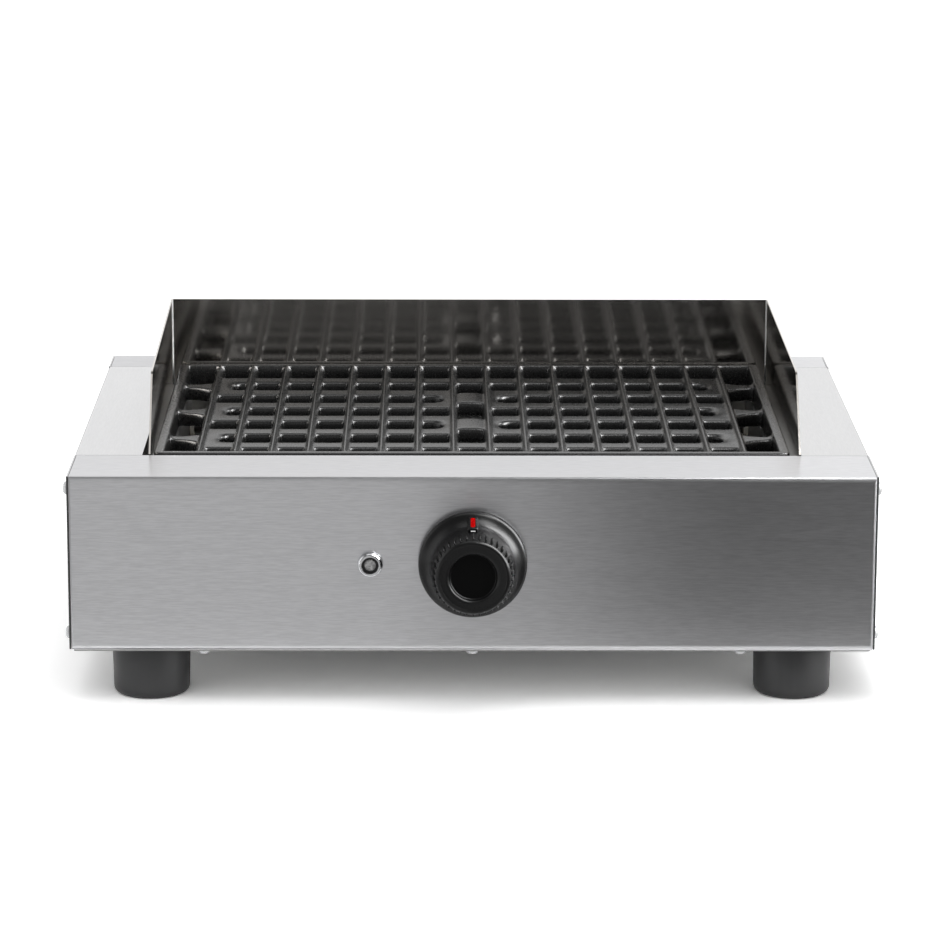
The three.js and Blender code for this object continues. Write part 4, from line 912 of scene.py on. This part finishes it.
# Control knob, its levels measured forward from the face
knob = {
    "drop": 58.0,
    "profile": (
        # dish, then the rim round it
        (0, 38.2), (13.9, 38.2), (15.0, 38.35), (15.45, 38.9), (15.7, 40.2), (16.1, 40.9), (16.7, 41.2),
        (17.2, 41.5), (17.7, 41.65), (18.4, 41.7), (21.9, 41.7), (22.0, 41.72), (22.25, 41.95), (22.4, 42.0),
        # crown and flare
        (22.8, 42.0), (23.8, 41.65), (24.7, 40.9), (25.2, 39.8), (25.35, 38.0), (25.5, 34.0), (25.8, 30.0),
        (26.15, 26.0), (26.6, 21.5), (27.05, 18.3), (27.6, 15.8), (28.25, 14.1), (29.0, 12.95), (29.9, 12.05),
        (30.9, 11.2), (31.9, 10.45), (32.9, 9.85), (33.9, 9.35), (34.7, 8.95), (35.4, 8.45), (35.9, 7.8),
        (36.2, 7.0), (36.3, 6.2), (36.3, 4.3), (36.2, 3.8), (35.6, 3.4), (35.0, 3.0), (34.8, 1.8),
        # hollow back, hub and spindle bore
        (34.5, 1.5), (33.0, 1.5), (32.7, 1.8), (26.0, 9.5), (24.0, 20.6), (22.4, 34.9), (22.0, 35.1),
        (8.0, 35.1), (7.5, 34.6), (7.5, 2.8), (7.2, 2.5), (3.7, 2.5), (3.5, 3.0), (3.5, 20.4), (0, 20.4),
    ),
    "dishRadius": 15.6,
    "dishLevel": 38.6,
    "dishFacing": 0.5,       # how far forward a face of the dish looks
    "steps": 96,
    "coneSlope": 17.5,
    "gripCount": 38,
    "gripSize": (1.0, 2.7, 12.0),
    "gripEdge": 0.25,
    "gripRadius": 25.65,
    "gripLevel": 33.6,
    "tabSize": (7.1, 6.0, 18.9),
    "tabEdge": 1.3,
    "tabRadius": 29.0,
    "tabLevel": 13.6,
    "insertSize": (3.2, 1.8, 12.2),
    "insertRadius": 30.5,
    "insertLevel": 16.1,
    "insertCorner": 1.5,
    "insertEdge": 0.3,
    "dashSize": (3.1, 0.5, 0.9),
    "dashEdge": 0.2,
    "dashRadius": 27.3,
    "dashLevel": 24.2,
}
forward = Matrix.Rotation(math.radians(90), 4, "X")  # turns level along z to forward from the face


def onCone(radius, level):
    lean = Matrix.Rotation(math.radians(knob["coneSlope"]), 4, "X")
    return Matrix.Translation((0, radius / 1000, level / 1000)) @ lean


def makeKnob():
    centre = Matrix.Translation(place(0, 0, -knob["drop"])) @ forward
    bm = bmesh.new()
    turned(bm, knob["profile"], knob["steps"])
    where = Matrix.Translation((0, knob["gripRadius"] / 1000, knob["gripLevel"] / 1000))
    grip = roundedBlock(bm, knob["gripSize"], knob["gripEdge"], 1, where)
    faces = unique(face for vert in grip for face in vert.link_faces)
    share = (knob["gripCount"] - 1) / knob["gripCount"]
    bmesh.ops.spin(bm, geom=faces, cent=(0, 0, 0), axis=(0, 0, 1), dvec=(0, 0, 0), angle=math.tau * share,
                   steps=knob["gripCount"] - 1, use_duplicate=True)
    roundedBlock(bm, knob["tabSize"], knob["tabEdge"], 4, onCone(knob["tabRadius"], knob["tabLevel"]))
    bm.faces.ensure_lookup_table()
    # The dish's faces get the blacker plastic: painted shade in the recess.
    dish = [index for index in facesInside(bm, knob["dishRadius"])
            if bm.faces[index].calc_center_median().z < knob["dishLevel"] / 1000
            and bm.faces[index].normal.z > knob["dishFacing"]]
    bmesh.ops.transform(bm, matrix=centre, verts=bm.verts)
    body = finishPiece("knobBody", bm, "blackPlastic", "knob", sharpAngle=50)
    refinish(body, dish, "dishPlastic")

    bm = bmesh.new()
    bmesh.ops.create_cube(bm, size=0.001)
    bmesh.ops.scale(bm, vec=knob["insertSize"], verts=bm.verts)
    corners = [edge for edge in bm.edges if edge.verts[0].co.y * edge.verts[1].co.y < 0]
    roundEdges(bm, corners, knob["insertCorner"], 6)
    rims = [edge for edge in bm.edges if edge.calc_face_angle() > 1]
    roundEdges(bm, rims, knob["insertEdge"], 2)
    bmesh.ops.transform(bm, matrix=centre @ onCone(knob["insertRadius"], knob["insertLevel"]), verts=bm.verts)
    finishPiece("knobInsert", bm, "redPlastic", "knob_pointer", sharpAngle=50)

    bm = bmesh.new()
    roundedBlock(bm, knob["dashSize"], knob["dashEdge"], 2, onCone(knob["dashRadius"], knob["dashLevel"]))
    bmesh.ops.transform(bm, matrix=centre, verts=bm.verts)
    finishPiece("knobDash", bm, "whitePrint", "knob", replaced=False, sharpAngle=50)


makeKnob()
print("knob turned")

# Pilot lamp: a chromed cone with a recessed lens
lamp = {
    "x": -68.3,
    "drop": 59.3,
    "bezel": ((4.1, 0.3), (8.3, 0.3), (8.6, 0.6), (8.65, 1.2), (8.6, 2.2), (8.45, 3.0), (8.15, 3.75),
              (7.75, 4.35), (7.3, 4.8), (6.9, 5.0), (5.9, 5.05), (5.72, 4.97), (5.65, 4.8), (5.6, 2.6),
              (4.1, 2.6), (4.1, 0.3)),
    "lens": ((0, 0.3), (3.9, 0.3), (3.9, 3.0), (3.8, 3.4), (3.5, 3.75), (3.0, 4.0), (2.0, 4.25),
             (1.0, 4.38), (0, 4.4)),
    "sleeveRadius": 5.64,     # inside it the bezel has a dark grey sleeve, partly a housing's own colour and partly painted shade of the recess round the lens
    "steps": 72,
}


def makeLampPieces():
    centre = Matrix.Translation(place(lamp["x"], 0, -lamp["drop"])) @ forward
    for name, profile, finish, like in (("lampBezel", lamp["bezel"], "chrome", "lamp_bezel"),
                                        ("lampLens", lamp["lens"], "lens", "lamp_lens")):
        bm = bmesh.new()
        turned(bm, profile, lamp["steps"])
        inside = facesInside(bm, lamp["sleeveRadius"])
        bmesh.ops.transform(bm, matrix=centre, verts=bm.verts)
        piece = finishPiece(name, bm, finish, like, sharpAngle=40)
        if name == "lampBezel":
            # The sleeve's dark grey stands partly for the shade in the recess round the lens.
            refinish(piece, inside, "footPlastic")


makeLampPieces()

# Feet, with levels measured down from the base plate
foot = {
    "profile": ((0, 12.2), (9.0, 12.2), (9.0, 34.0), (9.2, 34.2), (22.0, 34.2), (23.2, 34.0), (24.3, 33.3),
                (25.2, 32.2), (25.7, 30.9), (25.85, 29.4), (26.1, 16.0), (26.4, 1.0), (26.3, 0.4),
                (26.0, 0.0), (0, 0.0)),
    "steps": 72,
}


def makeFeet():
    for side in ("left", "right"):
        for end in ("front", "rear"):
            node = f"{end}_{side}_foot"
            low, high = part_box(node)
            middle = (low + high) / 2
            bm = bmesh.new()
            turned(bm, foot["profile"], foot["steps"])
            turn = Matrix.Translation((middle.x, middle.y, high.z)) @ Matrix.Rotation(math.pi, 4, "X")
            bmesh.ops.transform(bm, matrix=turn, verts=bm.verts)
            finishPiece(f"{end}{side.capitalize()}Foot", bm, "footPlastic", node, sharpAngle=50)


makeFeet()
print("feet moulded")

# Screw heads, with levels measured out from the sheet
screw = {
    "profile": ((0, 0.0), (4.1, 0.0), (4.3, 0.3), (4.3, 0.9), (4.1, 1.5), (3.6, 2.0), (2.8, 2.4), (1.6, 2.58),
                (0, 2.6)),
    "bottomRise": 1.35,      # the heads under the body are higher by this factor
    "steps": 32,
}


def makeScrewHeads():
    outward = {"left": (-1, 0, 0), "right": (1, 0, 0), "bottom": (0, 0, -1)}
    for node in [name for name in nodes if name.endswith(("_upper_screw", "_lower_screw"))
                 or name.startswith("bottom_")]:
        first, *rest = node.split("_")
        way = Vector(outward[first])
        low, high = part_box(node)
        middle = (low + high) / 2
        top = [(high[k] if way[k] > 0 else low[k]) if way[k] else middle[k] for k in range(3)]
        seat = Vector(top) - way * screw["profile"][-1][1] / 1000
        bm = bmesh.new()
        turned(bm, screw["profile"], screw["steps"])
        bmesh.ops.scale(bm, vec=(1, 1, screw["bottomRise"] if way.z else 1), verts=bm.verts)
        turn = Matrix.Translation(seat) @ way.to_track_quat("Z", "Y").to_matrix().to_4x4()
        bmesh.ops.transform(bm, matrix=turn, verts=bm.verts)
        finishPiece(first + "".join(word.capitalize() for word in rest), bm, "zinc", node, sharpAngle=50)


makeScrewHeads()
print("screws set")
